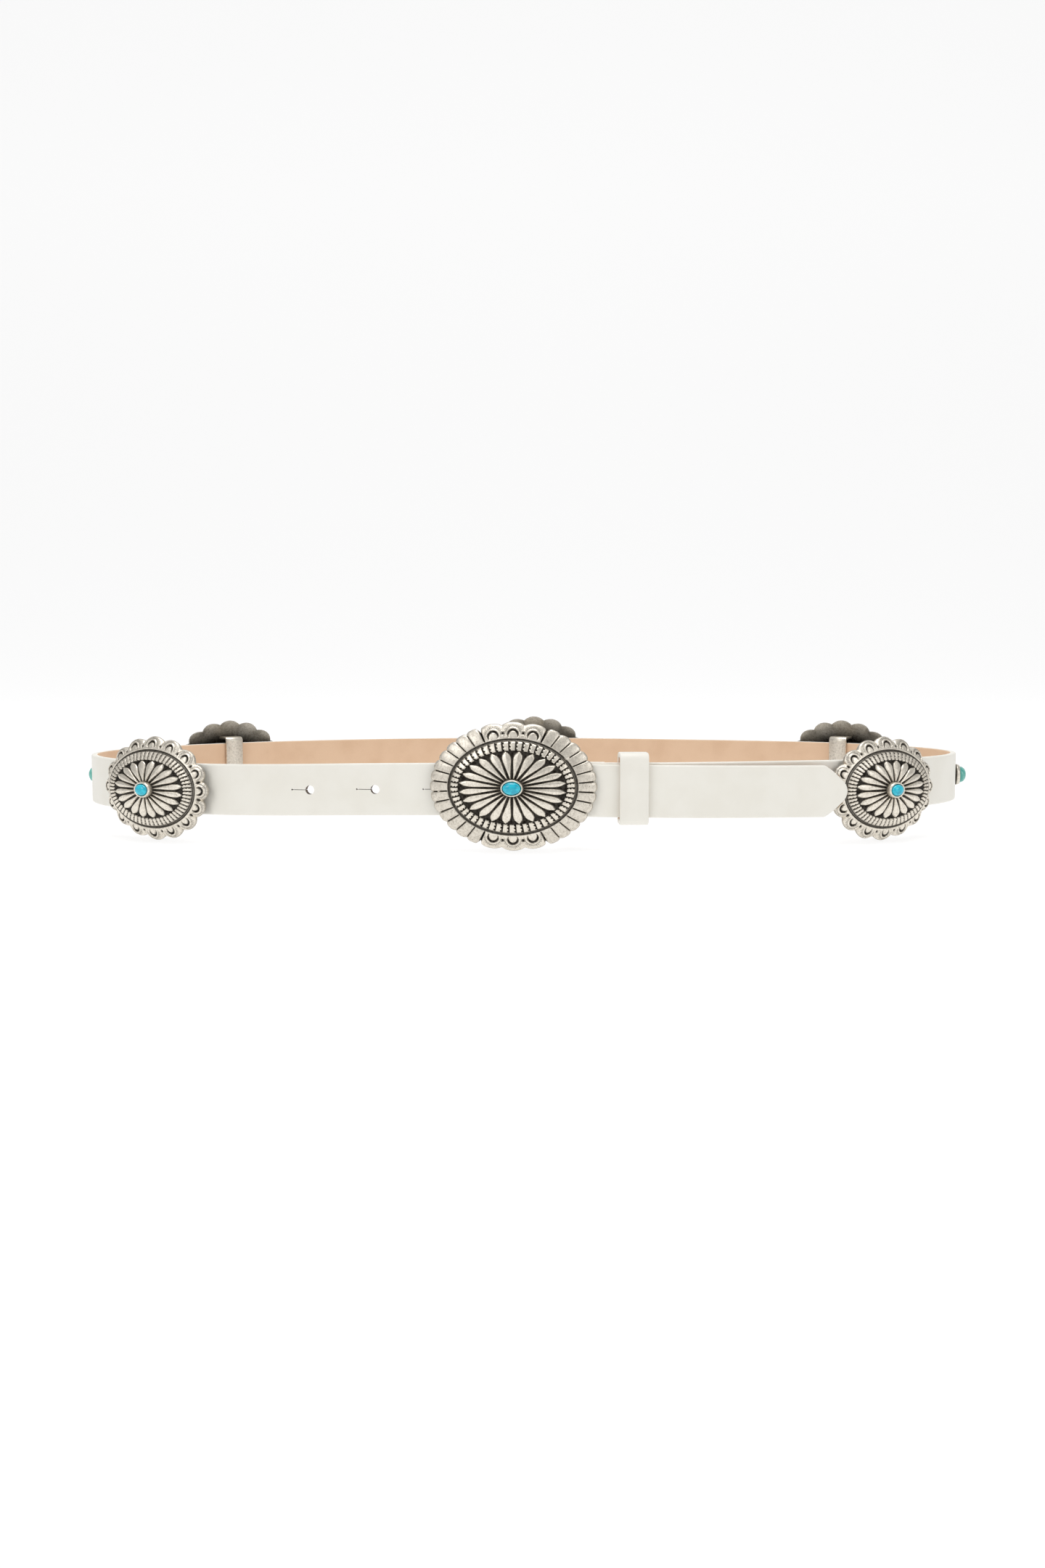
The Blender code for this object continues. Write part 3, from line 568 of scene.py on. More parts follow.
def makeKeeper():
    travel = buckleAt + belt["keeperFromBuckle"]
    depth = 2 * belt["strapThickness"] + belt["layerGap"] + 2 * (belt["pieceGap"] + belt["layerGap"] / 2)
    wall, corner, height = keeperSizes["wall"], keeperSizes["corner"], keeperSizes["height"] / 2
    count = keeperSizes["cornerPoints"]
    outer, inner = [
        sum(roundCorners(depth / 2 + grown, height - wall + grown, corner - wall + grown, count), [])
        for grown in (wall, 0.0)
    ]
    half, edge = keeperSizes["width"] / 2, keeperSizes["edge"]
    # around the band's own section: along the strap, and the share from the inner to the outer outline
    section = [(-half + edge, 1.0), (-half + 0.3 * edge, 0.93), (-half, 0.78), (-half, 0.22),
               (-half + 0.3 * edge, 0.07), (-half + edge, 0.0)]
    section += [(-along, share) for along, share in reversed(section)]
    spots, flesh = [], []
    for (outO, upO), (outI, upI) in zip(outer, inner):
        for along, share in section:
            spots.append((along, upI + (upO - upI) * share, outI + (outO - outI) * share))
            flesh.append(1.0 if share < 0.05 else 0.0)
    mesh = turnOutward(newMesh("keeperBand", spots, ringFaces(len(outer), len(section), closed=True)))
    addAttribute(mesh, "flesh", flesh)
    mesh.transform(loopMatrix(travel, layers / 2, strapLevel(travel) + belt["strapSeat"]))
    shade(mesh, 40)
    addPiece("keeperBand", mesh, "keeper", leather)
    print("keeper")


makeKeeper()


# Stamped and cast plates. A ring: place, half length, half height, rise, bulge before it, steps

conchoSizes = {
    "turns": 600, "petals": 20, "dashes": 60,
    "scallops": 16, "scallopDepth": 0.078, "stampRing": (23.8, 17.2), "stampRadius": 0.52, "dotRing": (23.9, 17.1),
    "dotRadius": 0.6,
    "relief": {"Petal Relief": 0.72, "Dash Relief": 0.62, "Stamp Depth": 0.5},
    "rings": [
        ("cup middle", 0.0, 0.0, 7.7, 0.0, 0), ("cup floor", 3.1, 2.25, 7.7, 0.0, 2),
        ("cup wall", 3.15, 2.3, 9.2, 0.0, 2), ("bezel top", 3.55, 2.7, 9.45, 0.06, 3),
        ("bezel shoulder", 4.0, 3.1, 9.1, 0.12, 3), ("bezel foot", 4.15, 3.25, 6.9, 0.0, 4),
        ("petals", 17.9, 11.45, 5.1, 0.55, 46), ("dashes", 21.8, 14.95, 3.85, 0.1, 14),
        ("groove", 22.7, 15.8, 3.55, -0.45, 5), ("plain ring", 23.2, 16.35, 3.4, 0.1, 3),
        ("border", 26.7, 20.45, 1.35, 0.3, 22),
    ],
    "back": [("lip", 26.75, 20.5, 0.0, 1), ("back flange", 23.2, 16.2, 2.4, 3), ("hollow", 11.3, 7.1, 5.7, 4),
             ("hollow middle", 0.0, 0.0, 6.3, 2)],
    "edge": (27.0, 20.75, 0.6),
    "stone": (3.05, 2.2, 8.0, 9.1, 10.7),
}
buckleSizes = {
    "turns": 720, "petals": 24, "dashes": 54,
    "rays": 13, "rayFan": 130.0, "rayDepth": 0.028, "lobes": 3, "lobeDepth": 0.045, "notchDepth": 0.075,
    "stampRing": (26.2, 19.75), "stampRadius": 0.46, "dotRing": (26.8, 20.5), "dotRadius": 0.62,
    "relief": {"Petal Relief": 0.8, "Dash Relief": 0.7, "Stamp Depth": 0.5, "Ray Line": 0.5},
    "rings": [
        ("cup middle", 0.0, 0.0, 8.1, 0.0, 0), ("cup floor", 3.4, 2.4, 8.1, 0.0, 2),
        ("cup wall", 3.45, 2.45, 9.7, 0.0, 2), ("bezel top", 3.85, 2.8, 9.95, 0.06, 3),
        ("bezel shoulder", 4.2, 3.15, 9.6, 0.12, 3), ("bezel foot", 4.35, 3.3, 7.4, 0.0, 4),
        ("petals", 20.5, 13.8, 5.5, 0.5, 50), ("dashes", 23.7, 17.45, 4.1, 0.1, 13),
        ("groove", 24.9, 18.5, 3.7, -0.5, 6), ("border", 31.45, 24.2, 1.4, 0.3, 26),
    ],
    "back": [("lip", 31.5, 24.25, 0.0, 1), ("back flange", 27.3, 19.1, 2.4, 3), ("hollow", 13.3, 8.3, 6.0, 4),
             ("hollow middle", 0.0, 0.0, 6.5, 2)],
    "edge": (31.75, 24.5, 0.7),
    "stone": (3.35, 2.35, 8.4, 9.7, 11.4),
}


def conchoEdge(turn):  # a round lobe for each scallop
    lobe = 2 * math.pi / conchoSizes["scallops"]
    place = 2 * np.abs(turn / lobe - np.round(turn / lobe))
    return 1.0 - conchoSizes["scallopDepth"] * place**2


def buckleEdge(turn):  # thirteen rays at each end, three lobes above and below
    fan = math.radians(buckleSizes["rayFan"])
    around = (turn + math.pi / 2) % math.pi - math.pi / 2
    ray = fan / buckleSizes["rays"]
    rayPlace = 2 * np.abs(around / ray - np.round(around / ray))
    lobe = (math.pi - fan) / buckleSizes["lobes"]
    lobePlace = np.abs(2 * (((turn % math.pi) - fan / 2) / lobe % 1.0) - 1)
    inFan = np.abs(around) < fan / 2
    edge = np.where(inFan, 1 - buckleSizes["rayDepth"] * rayPlace**3, 1 - buckleSizes["lobeDepth"] * lobePlace**2.4)
    toNotch = np.abs(np.abs(around) - fan / 2) / math.radians(1.6)
    return edge - np.maximum(0.0, 1 - toNotch) * buckleSizes["notchDepth"] * 0.6


plateReadings = ("turn", "reach", "across", "up")


def plateBlank(name, sizes, edgeShare):  # the plain plate as rings of points, with each point's own readings
    count = sizes["turns"]
    turns = np.arange(count) * 2 * math.pi / count
    cos, sin = np.cos(turns), np.sin(turns)
    edge = edgeShare(turns)
    rings = []  # positions of one ring, and its reach, half length and half height
    rows = sizes["rings"]
    for index in range(1, len(rows)):
        before, row = rows[index - 1], rows[index]
        for step in range(1, row[5] + 1):
            share = step / row[5]
            length = before[1] + (row[1] - before[1]) * share
            height = before[2] + (row[2] - before[2]) * share
            rise = before[3] + (row[3] - before[3]) * share + row[4] * 4 * share * (1 - share)
            wave = 1 + (edge - 1) * (share if row[0] == "border" else 0)
            rings.append((length * cos * wave, height * sin * wave, rise, index - 1 + share - 1e-4, length, height))
    length, height, rise = sizes["edge"]
    rings.append((length * cos * edge, height * sin * edge, rise, -1.0, length, height))
    before = sizes["edge"]
    for place, length, height, rise, steps in sizes["back"]:
        for step in range(1, steps + 1):
            share = step / steps
            wave = edge if place == "lip" else 1 + (edge - 1) * (1 - share if place == "back flange" else 0)
            x = (before[0] + (length - before[0]) * share) * cos * wave
            y = (before[1] + (height - before[1]) * share) * sin * wave
            if place != "hollow middle" or step < steps:
                rings.append((x, y, before[2] + (rise - before[2]) * share, -1.0, length, height))
        before = (length, height, rise)
    spots, readings = [[[0.0, 0.0, rows[0][3]]]], [[[0.0] * 4]]
    for x, y, rise, *ringReadings in rings:
        spots.append(np.stack([x, y, np.full(count, rise)], axis=1))
        readings.append(np.stack([turns] + [np.full(count, value) for value in ringReadings], axis=1))
    spots.append([[0.0, 0.0, sizes["back"][-1][3]]])
    readings.append([[0.0, -1.0, 0.0, 0.0]])
    faces = [(0, 1 + k, 1 + (k + 1) % count) for k in range(count)]
    faces += [(1 + a, 1 + d, 1 + c, 1 + b) for a, b, c, d in ringFaces(len(rings), count)]
    last, start = 1 + len(rings) * count, 1 + (len(rings) - 1) * count
    faces += [(start + k, last, start + (k + 1) % count) for k in range(count)]
    mesh = newMesh(name, np.vstack(spots), faces)
    for label, values in zip(plateReadings, np.vstack(readings).T):
        addAttribute(mesh, label, values)
    return mesh


class PlateReadings:
    # what a relief tree reads at each point of a plate, in mm

    def __init__(self, tree, sizes):
        self.tree = tree
        self.places = [row[0] for row in sizes["rings"]]
        for name in plateReadings:
            node = addNode(tree, "GeometryNodeInputNamedAttribute", {"data_type": "FLOAT"}, {"Name": name})
            setattr(self, name, Reading(tree, node.outputs[0]))
        position = addNode(tree, "GeometryNodeInputPosition")
        parts = addNode(tree, "ShaderNodeSeparateXYZ", {}, {0: position.outputs[0]})
        self.x = Reading(tree, parts.outputs["X"])
        self.y = Reading(tree, parts.outputs["Y"])
        sine, cosine = self.turn.math("SINE"), self.turn.math("COSINE")
        self.stretch = hypot(self.across * sine, self.up * cosine)  # mm along the ring for each radian

    def band(self, place):  # 1 inside the band that ends at this ring, and the share across it
        start = self.places.index(place) - 1
        inside = self.reach.math("GREATER_THAN", start + 0.0) * self.reach.math("LESS_THAN", start + 1.0)
        return inside, self.reach - float(start)


petalOutline = [(0.0, 0.46), (0.25, 0.66), (0.5, 0.8), (0.7, 0.84), (0.82, 0.72), (0.92, 0.4), (1.0, 0.0)]


def petalRelief(plate, count, height):  # spatula petals, narrow at the bezel, with dark gaps between
    inside, share = plate.band("petals")
    period = 2 * math.pi / count
    aside = plate.turn.fromMiddle(period)
    width = share.curve(petalOutline)
    room = (width - aside) * plate.stretch * (period * 0.5)
    top = room.ease(-0.05, 0.3)
    ridge = 1.0 - (aside / (width + 0.02)).math("MINIMUM", 1.0) * 0.22
    dark = 1.0 - room.ease(-0.02, 0.14)
    return top * ridge * height * inside, dark * inside


def dashRelief(plate, count, height):  # raised blocks with a comb-toothed gap between each two
    inside, share = plate.band("dashes")
    period = 2 * math.pi / count
    place = (plate.turn / period).math("FRACT") - 0.5
    comb = (share * (2 * math.pi * 3.0) - 0.6).math("SINE").ease(-0.25, 0.35)
    toothed = place.math("GREATER_THAN", 0.0)
    limit = 0.86 - toothed * comb * 0.34
    room = (limit - place.math("ABSOLUTE") * 2.0) * plate.stretch * (period * 0.5)
    ends = share.ease(0.02, 0.1) * (1.0 - share.ease(0.9, 0.98))
    top = room.ease(-0.05, 0.16) * ends
    return top * height * inside, (1.0 - room.ease(-0.02, 0.12) * ends) * inside


stampShape = {  # mm outward from the crescent, how far each line fades, ticks in a full turn
    "crescent": 0.85, "thin": 0.13, "thick": 0.26, "ridge": 0.5, "ridgeFade": (0.1, 0.34),
    "arc": 0.92, "arcFade": (0.06, 0.2), "fringe": 1.3, "fringeFade": (0.2, 0.32), "ticks": 30.0,
    "ridgeRise": 0.28, "arcDepth": 0.16, "fringeDepth": 0.14,
}


def stampRelief(x, y, turnMiddle, sizes, depth):  # a crescent, a ridge and a fringe of ticks
    length, height = sizes["stampRing"]
    endLength, endHeight = sizes["edge"][:2]
    cosine, sine = turnMiddle.math("COSINE"), turnMiddle.math("SINE")
    flange = hypot(cosine * (endLength - length), sine * (endHeight - height))
    radius = flange * sizes["stampRadius"]
    normalX, normalY = cosine / length, sine / height
    size = hypot(normalX, normalY)
    normalX, normalY = normalX / size, normalY / size
    dx, dy = x - cosine * length, y - sine * height
    out = dx * normalX + dy * normalY
    side = dy * normalX - dx * normalY
    away = hypot(out, side) + 0.001
    lean = out / away

    def line(name):  # a thin line at its distance outside the crescent
        return 1.0 - (away - radius - stampShape[name]).math("ABSOLUTE").ease(*stampShape[name + "Fade"])

    fromMiddle = (away - radius * stampShape["crescent"]).math("ABSOLUTE")
    halfWidth = lean.ease(-0.3, 0.5) * stampShape["thick"] + stampShape["thin"]
    crescent = (1.0 - (fromMiddle - halfWidth).ease(-0.08, 0.12)) * lean.ease(-0.6, -0.25)
    ridge = line("ridge") * lean.ease(-0.35, 0.0)
    arc = line("arc") * lean.ease(-0.3, 0.05)
    ticks = (side.math("ARCTAN2", out) * stampShape["ticks"]).math("COSINE").ease(-0.1, 0.5)
    fringe = ticks * line("fringe") * lean.ease(-0.1, 0.2)
    relief = ridge * stampShape["ridgeRise"] - crescent * depth
    relief = relief - fringe * stampShape["fringeDepth"] - arc * stampShape["arcDepth"]
    return relief, crescent + fringe * 0.55 + arc * 0.5 - ridge * 0.1


def dotRelief(x, y, turnMiddle, sizes, depth):
    length, height = sizes["dotRing"]
    away = hypot(x - turnMiddle.math("COSINE") * length, y - turnMiddle.math("SINE") * height)
    pit = 1.0 - away.ease(sizes["dotRadius"] * 0.55, sizes["dotRadius"] * 1.15)
    rim = 1.0 - (away - sizes["dotRadius"] * 1.4).math("ABSOLUTE").ease(0.02, 0.22)
    return rim * 0.1 - pit * depth, pit


def plateTree(name, sizes, borderWork):  # the relief over a blank, and the oxide and painted shade left in it
    tree, geometry, given = newTree(name, sizes["relief"])
    plate = PlateReadings(tree, sizes)
    petals, petalDark = petalRelief(plate, sizes["petals"], given["Petal Relief"])
    dashes, dashDark = dashRelief(plate, sizes["dashes"], given["Dash Relief"])
    border, share = plate.band("border")
    borderRelief, borderDark = borderWork(plate, share, given)
    groove, across = plate.band("groove")
    foot, up = plate.band("bezel foot")
    cup = plate.reach.math("LESS_THAN", 2.0) * plate.reach.math("GREATER_THAN", -0.5)
    back = plate.reach.math("LESS_THAN", -0.5)
    # painted shade: the back is darker all over, and darker still towards the middle of its hollow, where shade falls
    hollow = 1.0 - hypot(plate.x * (1 / sizes["edge"][0]), plate.y * (1 / sizes["edge"][1])).ease(0.5, 1.0)
    dark = petalDark + dashDark + borderDark * border
    dark = dark + groove * across.ease(0.0, 0.3) * (1.0 - across.ease(0.75, 1.0)) * 0.95
    dark = dark + foot * up.ease(0.35, 1.0) * 0.9 + cup * 0.9 + back * (hollow * 0.62 + 0.42)
    lift = addNode(tree, "ShaderNodeCombineXYZ", {}, {"Z": (petals + dashes + borderRelief * border).socket})
    moved = addNode(tree, "GeometryNodeSetPosition", {}, {"Geometry": geometry, "Offset": lift.outputs[0]})
    stored = addNode(tree, "GeometryNodeStoreNamedAttribute", {"data_type": "FLOAT", "domain": "POINT"}, {
        "Geometry": moved.outputs[0], "Name": "oxide", "Value": dark.math("MINIMUM", 1.0).math("MAXIMUM", 0.0).socket,
    })
    real = addNode(tree, "GeometryNodeRealizeInstances", {}, {"Geometry": stored.outputs[0]})
    smooth = addNode(tree, "GeometryNodeSetShadeSmooth", {}, {"Geometry": real.outputs[0]})
    painted = addNode(tree, "GeometryNodeSetMaterial", {}, {"Geometry": smooth.outputs[0], "Material": silver})
    addNode(tree, "NodeGroupOutput", {}, {"Geometry": painted.outputs[0]})
    return tree


def conchoBorder(plate, share, given):  # a stamp on each scallop, a dot between each two
    lobe = 2 * math.pi / conchoSizes["scallops"]
    nearest = (plate.turn / lobe).math("ROUND") * lobe
    between = ((plate.turn / lobe).math("FLOOR") + 0.5) * lobe
    stamps, stampDark = stampRelief(plate.x, plate.y, nearest, conchoSizes, given["Stamp Depth"])
    dots, dotDark = dotRelief(plate.x, plate.y, between, conchoSizes, given["Stamp Depth"])
    room = (1.0 - (plate.turn / lobe + 0.5).fromMiddle(1.0)) * plate.stretch * (lobe * 0.5)
    valley = (1.0 - room.ease(0.0, 0.8)) * share.ease(0.3, 0.8)
    edgeDrop = share.ease(0.88, 1.0)
    relief = stamps * (1.0 - edgeDrop) + dots - valley * 0.25 - edgeDrop * 0.05
    return relief, stampDark + dotDark + valley * 0.12


def buckleBorder(plate, share, given):  # rays at both ends, three stamped lobes above and below
    fan = math.radians(buckleSizes["rayFan"])
    lower = plate.turn.math("GREATER_THAN", math.pi)
    flip = 1.0 - lower * 2.0
    x, y = plate.x * flip, plate.y * flip
    turn = plate.turn - lower * math.pi
    around = (turn - math.pi / 2).math("ABSOLUTE")  # from the top or the bottom
    inLobes = around.math("LESS_THAN", math.pi / 2 - fan / 2)
    lobe = (math.pi - fan) / buckleSizes["lobes"]
    place = (turn - fan / 2) / lobe
    nearest = (place.math("FLOOR") + 0.5) * lobe + fan / 2
    between = place.math("ROUND").math("MAXIMUM", 1.0).math("MINIMUM", 2.0) * lobe + fan / 2
    stamps, stampDark = stampRelief(x, y, nearest, buckleSizes, given["Stamp Depth"])
    dots, dotDark = dotRelief(x, y, between, buckleSizes, given["Stamp Depth"])
    ray = fan / buckleSizes["rays"]
    rayTurn = math.pi / 2 - around  # from the end of the buckle
    raySide = (rayTurn / ray + 0.5).fromMiddle(1.0)
    rayRoom = (1.0 - raySide) * plate.stretch * (ray * 0.5)
    rayLine = (1.0 - rayRoom.ease(0.1, 0.3)) * (1.0 - share.ease(0.93, 1.0))
    rayCrown = (1.0 - raySide * raySide) * 0.05
    notchRoom = (around - (math.pi / 2 - fan / 2)).math("ABSOLUTE") * plate.stretch
    notch = 1.0 - notchRoom.ease(0.12, 0.5)
    edgeDrop = share.ease(0.9, 1.0)
    rays = (rayCrown - rayLine * given["Ray Line"]) * (1.0 - inLobes)
    lobes = (stamps + dots) * inLobes * (1.0 - edgeDrop)
    relief = rays + lobes - notch * given["Ray Line"] * share.ease(0.0, 0.2) - edgeDrop * 0.05
    return relief, (rayLine + 0.15) * (1.0 - inLobes) + (stampDark + dotDark) * inLobes + notch


def dressedPlate(name, sizes, edgeShare, borderWork, fittings):
    blank = plateBlank(name, sizes, edgeShare)
    return joinMeshes(runTree(blank, plateTree(name + "Relief", sizes, borderWork), sizes["relief"]), fittings)


def stripMesh(points, width, thickness, edge=0.15):  # a bent flat strip, points are up and out in mm
    points = np.array(points, float)
    along = np.gradient(points, axis=0)
    along /= np.hypot(along[:, 0], along[:, 1])[:, None]
    across = np.stack([-along[:, 1], along[:, 0]], axis=1)
    half, deep = width / 2, thickness / 2
    section = [(half - edge, deep), (half, deep - edge), (half, edge - deep), (half - edge, -deep)]
    section += [(-side, lift) for side, lift in reversed(section)]
    spots = []
    for point, normal in zip(points, across):
        for side, lift in section:
            spots.append((side, point[0] + normal[0] * lift, point[1] + normal[1] * lift))
    return spots, tubeFaces(len(points), len(section))


def roundBar(points, radius, sides=20):  # a round bar through two points, with eased ends
    start, end = Vector(points[0]), Vector(points[1])
    turn = (end - start).to_track_quat("Z", "Y").to_matrix()
    length = (end - start).length
    ease = min(0.25, radius * 0.3)
    spots = []
    for reach, size in ((0, radius - ease), (ease, radius), (length - ease, radius), (length, radius - ease)):
        for k in range(sides):
            angle = 2 * math.pi * k / sides
            spots.append(start + turn @ Vector((size * math.cos(angle), size * math.sin(angle), reach)))
    return spots, tubeFaces(4, sides)


def joinMeshes(main, extras):  # adds the soldered fittings to a plate's mesh, in mm
    bm = bmesh.new()
    bm.from_mesh(main)
    oxide = bm.verts.layers.float.get("oxide")
    for spots, faces in extras:
        verts = [bm.verts.new(spot) for spot in spots]
        for vert in verts:
            vert[oxide] = 0.12
        made = [bm.faces.new([verts[k] for k in face]) for face in faces]
        bmesh.ops.recalc_face_normals(bm, faces=made)
        for face in made:
            face.smooth = True
    mesh = bpy.data.meshes.new(main.name)
    bm.to_mesh(mesh)
    bm.free()
    mesh.set_sharp_from_angle(angle=math.radians(62))
    return mesh


def domeMesh(sizes, rings=14, sides=48):  # a polished cabochon
    length, height, bottom, girdle, top = sizes
    rows = [(1.0, bottom), (1.0, girdle)]
    for angle in np.radians(np.linspace(0, 90, rings + 1)[1:-1]):
        rows.append((math.cos(angle) ** 0.85, girdle + (top - girdle) * math.sin(angle)))
    spots = [(0.0, 0.0, bottom)]
    for share, rise in rows:
        for k in range(sides):
            angle = 2 * math.pi * k / sides
            spots.append((length * share * math.cos(angle), height * share * math.sin(angle), rise))
    spots.append((0.0, 0.0, top))
    last = len(spots) - 1
    faces = [tuple(1 + corner for corner in face) for face in ringFaces(len(rows), sides)]
    for k in range(sides):
        m = (k + 1) % sides
        faces += [(0, 1 + m, 1 + k), (last, last - sides + k, last - sides + m)]
    mesh = newMesh("cabochon", spots, faces)
    shade(mesh, 60)
    return mesh


staple = {
    "width": 8.3, "metal": 1.2, "opening": 12.0, "play": 0.5, "bend": 1.3, "legEnd": 4.1, "straight": 4.0,
}


def stapleExtra():  # the flat loop behind the strap, its legs soldered into the dome
    leg = staple["opening"] + staple["metal"] / 2
    bar = -belt["pieceGap"] - belt["strapThickness"] - staple["play"] - staple["metal"] / 2
    bend = staple["bend"]
    points = [(-leg, staple["legEnd"]), (-leg, 0.0), (-leg, bar + bend)]
    for angle in np.radians(np.linspace(180, 270, 7)):
        points.append((-leg + bend + bend * math.cos(angle), bar + bend + bend * math.sin(angle)))
    points += [(-staple["straight"], bar), (0.0, bar)]
    points += [(-up, out) for up, out in reversed(points[:-1])]
    return stripMesh(points, staple["width"], staple["metal"])


def placeCopies(places, level, parts):  # a copy of each part at each place, counted in pitches from the back
    for place, pitches in places.items():
        travel = pitches * pitch
        matrix = loopMatrix(travel, halfStrap + belt["pieceGap"], level(travel))
        for mesh, name, node, slot, material in parts:
            copy = mesh.copy()
            copy.transform(matrix)
            addPiece(name + place, copy, node + place, material)


conchoPlaces = {"back": 0, "back_left": 1, "front_left": 2, "front_right": -2, "back_right": -1}


def makeConchos():
    whole = dressedPlate("conchoPlate", conchoSizes, conchoEdge, conchoBorder, [stapleExtra()])
    placeCopies(conchoPlaces, lambda travel: belt["conchoHeight"] / 2, [
        (whole, "conchoPlate_", "concho_", "silver", silver),
        (domeMesh(conchoSizes["stone"]), "conchoStone_", "concho_stone_", "turquoise", blueStone),
    ])
    print("conchos:", len(whole.polygons), "faces each")


makeConchos()


# Buckle

buckleFittings = {
    "bar": 2.2, "leg": 2.2, "lowerLegEnd": 3.3, "upperLegEnd": 3.6,
    "post": 2.8, "postEnd": 2.4, "postHead": 5.2, "headHeight": 1.2, "postInHead": 0.6,
}


def makeBuckle():
    matrix = loopMatrix(buckleAt, layers + halfStrap + belt["pieceGap"], belt["buckleHeight"] / 2)
    toPlate = matrix.inverted()
    shift = np.array(belt["shift"])
    thick = buckleFittings["bar"] / 2
    radius = thick + belt["pieceGap"] + halfStrap
    bar = toPlate @ Vector((loopSpot(barAt, -radius, strapLevel(barAt)) + shift) * mm)
    post = toPlate @ Vector((loopSpot(postAt, outerOffset(postAt), strapLevel(postAt)) + shift) * mm)
    reach = belt["strapHeight"] / 2 + belt["pieceGap"] + buckleFittings["leg"]
    headTop = post.z - halfStrap - belt["pieceGap"]
    legs = ((bar.y - reach, buckleFittings["lowerLegEnd"]), (bar.y + reach, buckleFittings["upperLegEnd"]))
    fittings = [roundBar(((bar.x, legs[0][0], bar.z), (bar.x, legs[1][0], bar.z)), thick)]
    fittings += [roundBar(((bar.x, side, bar.z - thick), (bar.x, side, end)), thick) for side, end in legs]
    for start, end, diameter in (
        (headTop - buckleFittings["postInHead"], buckleFittings["postEnd"], buckleFittings["post"]),
        (headTop - buckleFittings["headHeight"], headTop, buckleFittings["postHead"]),
    ):
        fittings.append(roundBar(((post.x, post.y, start), (post.x, post.y, end)), diameter / 2))
    whole = dressedPlate("bucklePlate", buckleSizes, buckleEdge, buckleBorder, fittings)
    stone = domeMesh(buckleSizes["stone"])
    for mesh in (whole, stone):
        mesh.transform(matrix)
    addPiece("bucklePlate", whole, "buckle", silver)
    addPiece("buckleStone", stone, "buckle_stone", blueStone)
    print("buckle:", len(whole.polygons), "faces")


makeBuckle()


# Studs: a turned cup with a rolled rim and a high round stone

studSizes = {
    "cup": [(0.0, 0.0), (4.2, 0.0), (4.45, 0.15), (4.5, 0.5), (4.4, 0.95), (4.2, 1.4), (4.0, 1.65), (3.8, 1.7),
            (3.65, 1.6), (3.62, 1.3), (3.62, 0.7), (0.0, 0.7)],
    "stone": (3.5, 3.5, 0.95, 1.7, 4.5), "darkBelow": 0.3, "darkWithin": 3.64,
}
studPlaces = {"back_left": 0.5, "left_side": 1.5, "right_side": -1.5, "back_right": -0.5}


def turnedMesh(profile, sides=64):
    bm = bmesh.new()
    rings = []
    for radius, rise in profile:
        angles = [2 * math.pi * k / sides for k in range(sides if radius else 1)]
        rings.append([bm.verts.new((radius * math.cos(angle), radius * math.sin(angle), rise)) for angle in angles])
    for first, second in zip(rings, rings[1:]):
        for k in range(sides):
            m = (k + 1) % sides
            corners = [first[k % len(first)], first[m % len(first)], second[m % len(second)], second[k % len(second)]]
            bm.faces.new(list(dict.fromkeys(corners)))
    mesh = turnOutward(bpy.data.meshes.new("studCup"), bm)
    spots = pointsOf(mesh)
    # darker inside under the stone, and at the foot where the cup meets the strap: painted shade in that crease
    inside = np.hypot(spots[:, 0], spots[:, 1]) < studSizes["darkWithin"]
    addAttribute(mesh, "oxide", ((spots[:, 2] < studSizes["darkBelow"]) | inside) * 0.75 + 0.08)
    shade(mesh, 60)
    return mesh


def makeStuds():
    placeCopies(studPlaces, strapLevel, [
        (turnedMesh(studSizes["cup"]), "studCup_", "stud_", "silver", silver),
        (domeMesh(studSizes["stone"]), "studStone_", "stud_stone_", "green_turquoise", greenStone),
    ])
    print("studs:", len(studPlaces))


makeStuds()


# Studio: a pale sweep, soft light and the camera

studio = {
    "camera": (0.0, -611.3, 81.2), "pitch": -5.24, "focal": 2223.0, "imageWidth": 1440.0, "sensor": 36.0,
    "sweep": "#898989", "glow": 0.77, "air": 0.42,
    "floorFront": -2.5, "floorBack": 1.2, "bend": 0.8, "top": 3.5, "halfWidth": 3.5,
    # place, aim, size and watts of each soft box
    "boxes": {
        "overhead": ((0.0, -0.1, 1.3), (0.0, 0.0, 0.02), 0.8, 8.0),
        "frontLeft": ((-0.9, -1.1, 0.8), (0.0, 0.0, 0.03), 0.7, 4.6),
        "frontRight": ((1.0, -0.9, 0.6), (0.0, 0.0, 0.03), 0.6, 2.8),
    },
}


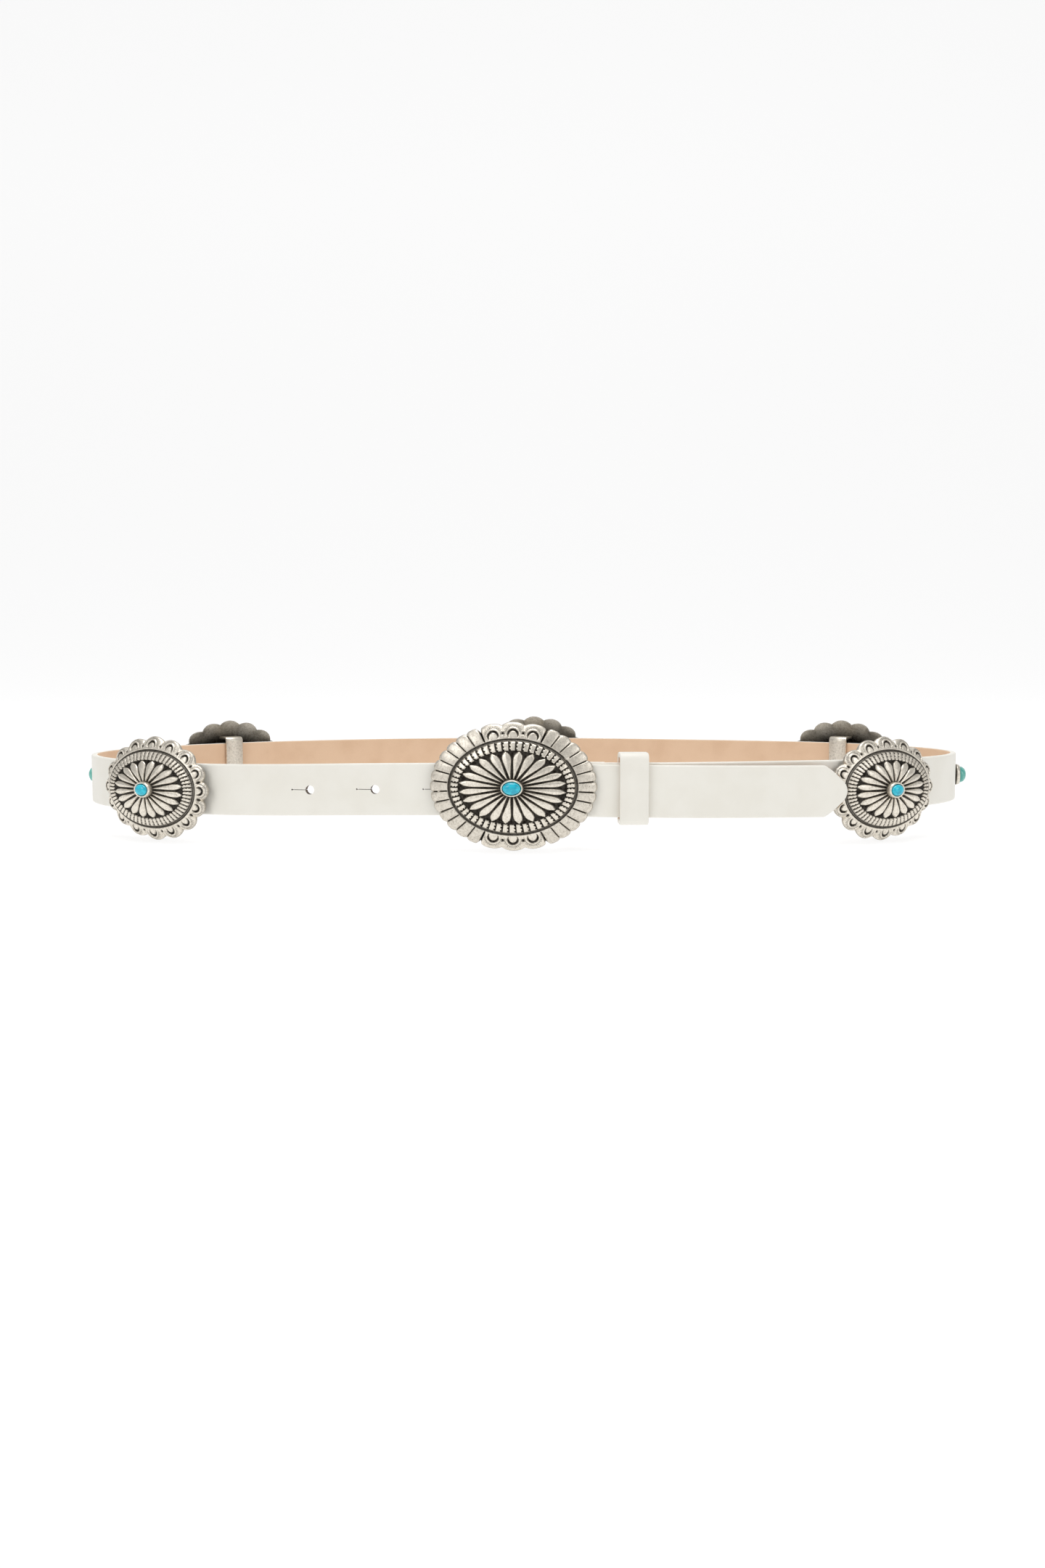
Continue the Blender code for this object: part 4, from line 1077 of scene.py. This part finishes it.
def makeSweep():
    bend, back = studio["bend"], studio["floorBack"]
    profile = [(studio["floorFront"], 0.0), (back, 0.0)]
    for angle in np.radians(np.linspace(0, 90, 17)[1:]):
        profile.append((back + bend * math.sin(angle), bend - bend * math.cos(angle)))
    profile.append((back + bend, studio["top"]))
    spots = [(side * studio["halfWidth"], y, z) for y, z in profile for side in (-1, 1)]
    faces = [(2 * k, 2 * k + 1, 2 * k + 3, 2 * k + 2) for k in range(len(profile) - 1)]
    mesh = newMesh("studioSweep", spots, faces)
    mesh.shade_smooth()
    # opal acrylic sheet, matt and lit from behind: nearly even white, with a faint shadow left
    material = newMaterial("opalAcrylic", {
        "Roughness": 0.9, "Base Color": hexColour(studio["sweep"]),
        "Emission Color": (1.0, 1.0, 1.0, 1.0), "Emission Strength": studio["glow"],
    })[0]
    mesh.materials.append(material)
    addObject("studioSweep", mesh)


def makeLights():
    world = bpy.data.worlds.new("studioAir")
    world.use_nodes = True
    air = world.node_tree.nodes["Background"].inputs
    air["Color"].default_value = (1.0, 1.0, 1.0, 1.0)
    air["Strength"].default_value = studio["air"]
    bpy.context.scene.world = world
    for name, (spot, aim, size, watts) in studio["boxes"].items():
        light = bpy.data.lights.new(name, "AREA")
        light.shape = "SQUARE"
        light.size = size
        light.energy = watts
        lamp = addObject(name, light)
        lamp.location = spot
        lamp.rotation_euler = (Vector(aim) - Vector(spot)).to_track_quat("-Z", "Y").to_euler()


def makeCamera():
    data = bpy.data.cameras.new("photoView")
    data.sensor_fit = "HORIZONTAL"
    data.sensor_width = studio["sensor"]
    data.lens = studio["sensor"] * studio["focal"] / studio["imageWidth"]
    data.clip_start = 0.01
    data.clip_end = 20.0
    camera = addObject("photoView", data)
    camera.location = (Vector(studio["camera"]) + Vector(belt["shift"])) * mm
    camera.rotation_euler = (math.radians(90 + studio["pitch"]), 0.0, 0.0)
    bpy.context.scene.camera = camera


makeSweep()
makeLights()
makeCamera()
bpy.context.scene.view_settings.view_transform = "Standard"
print("studio: sweep, three soft boxes, camera")

bpy.context.view_layer.update()
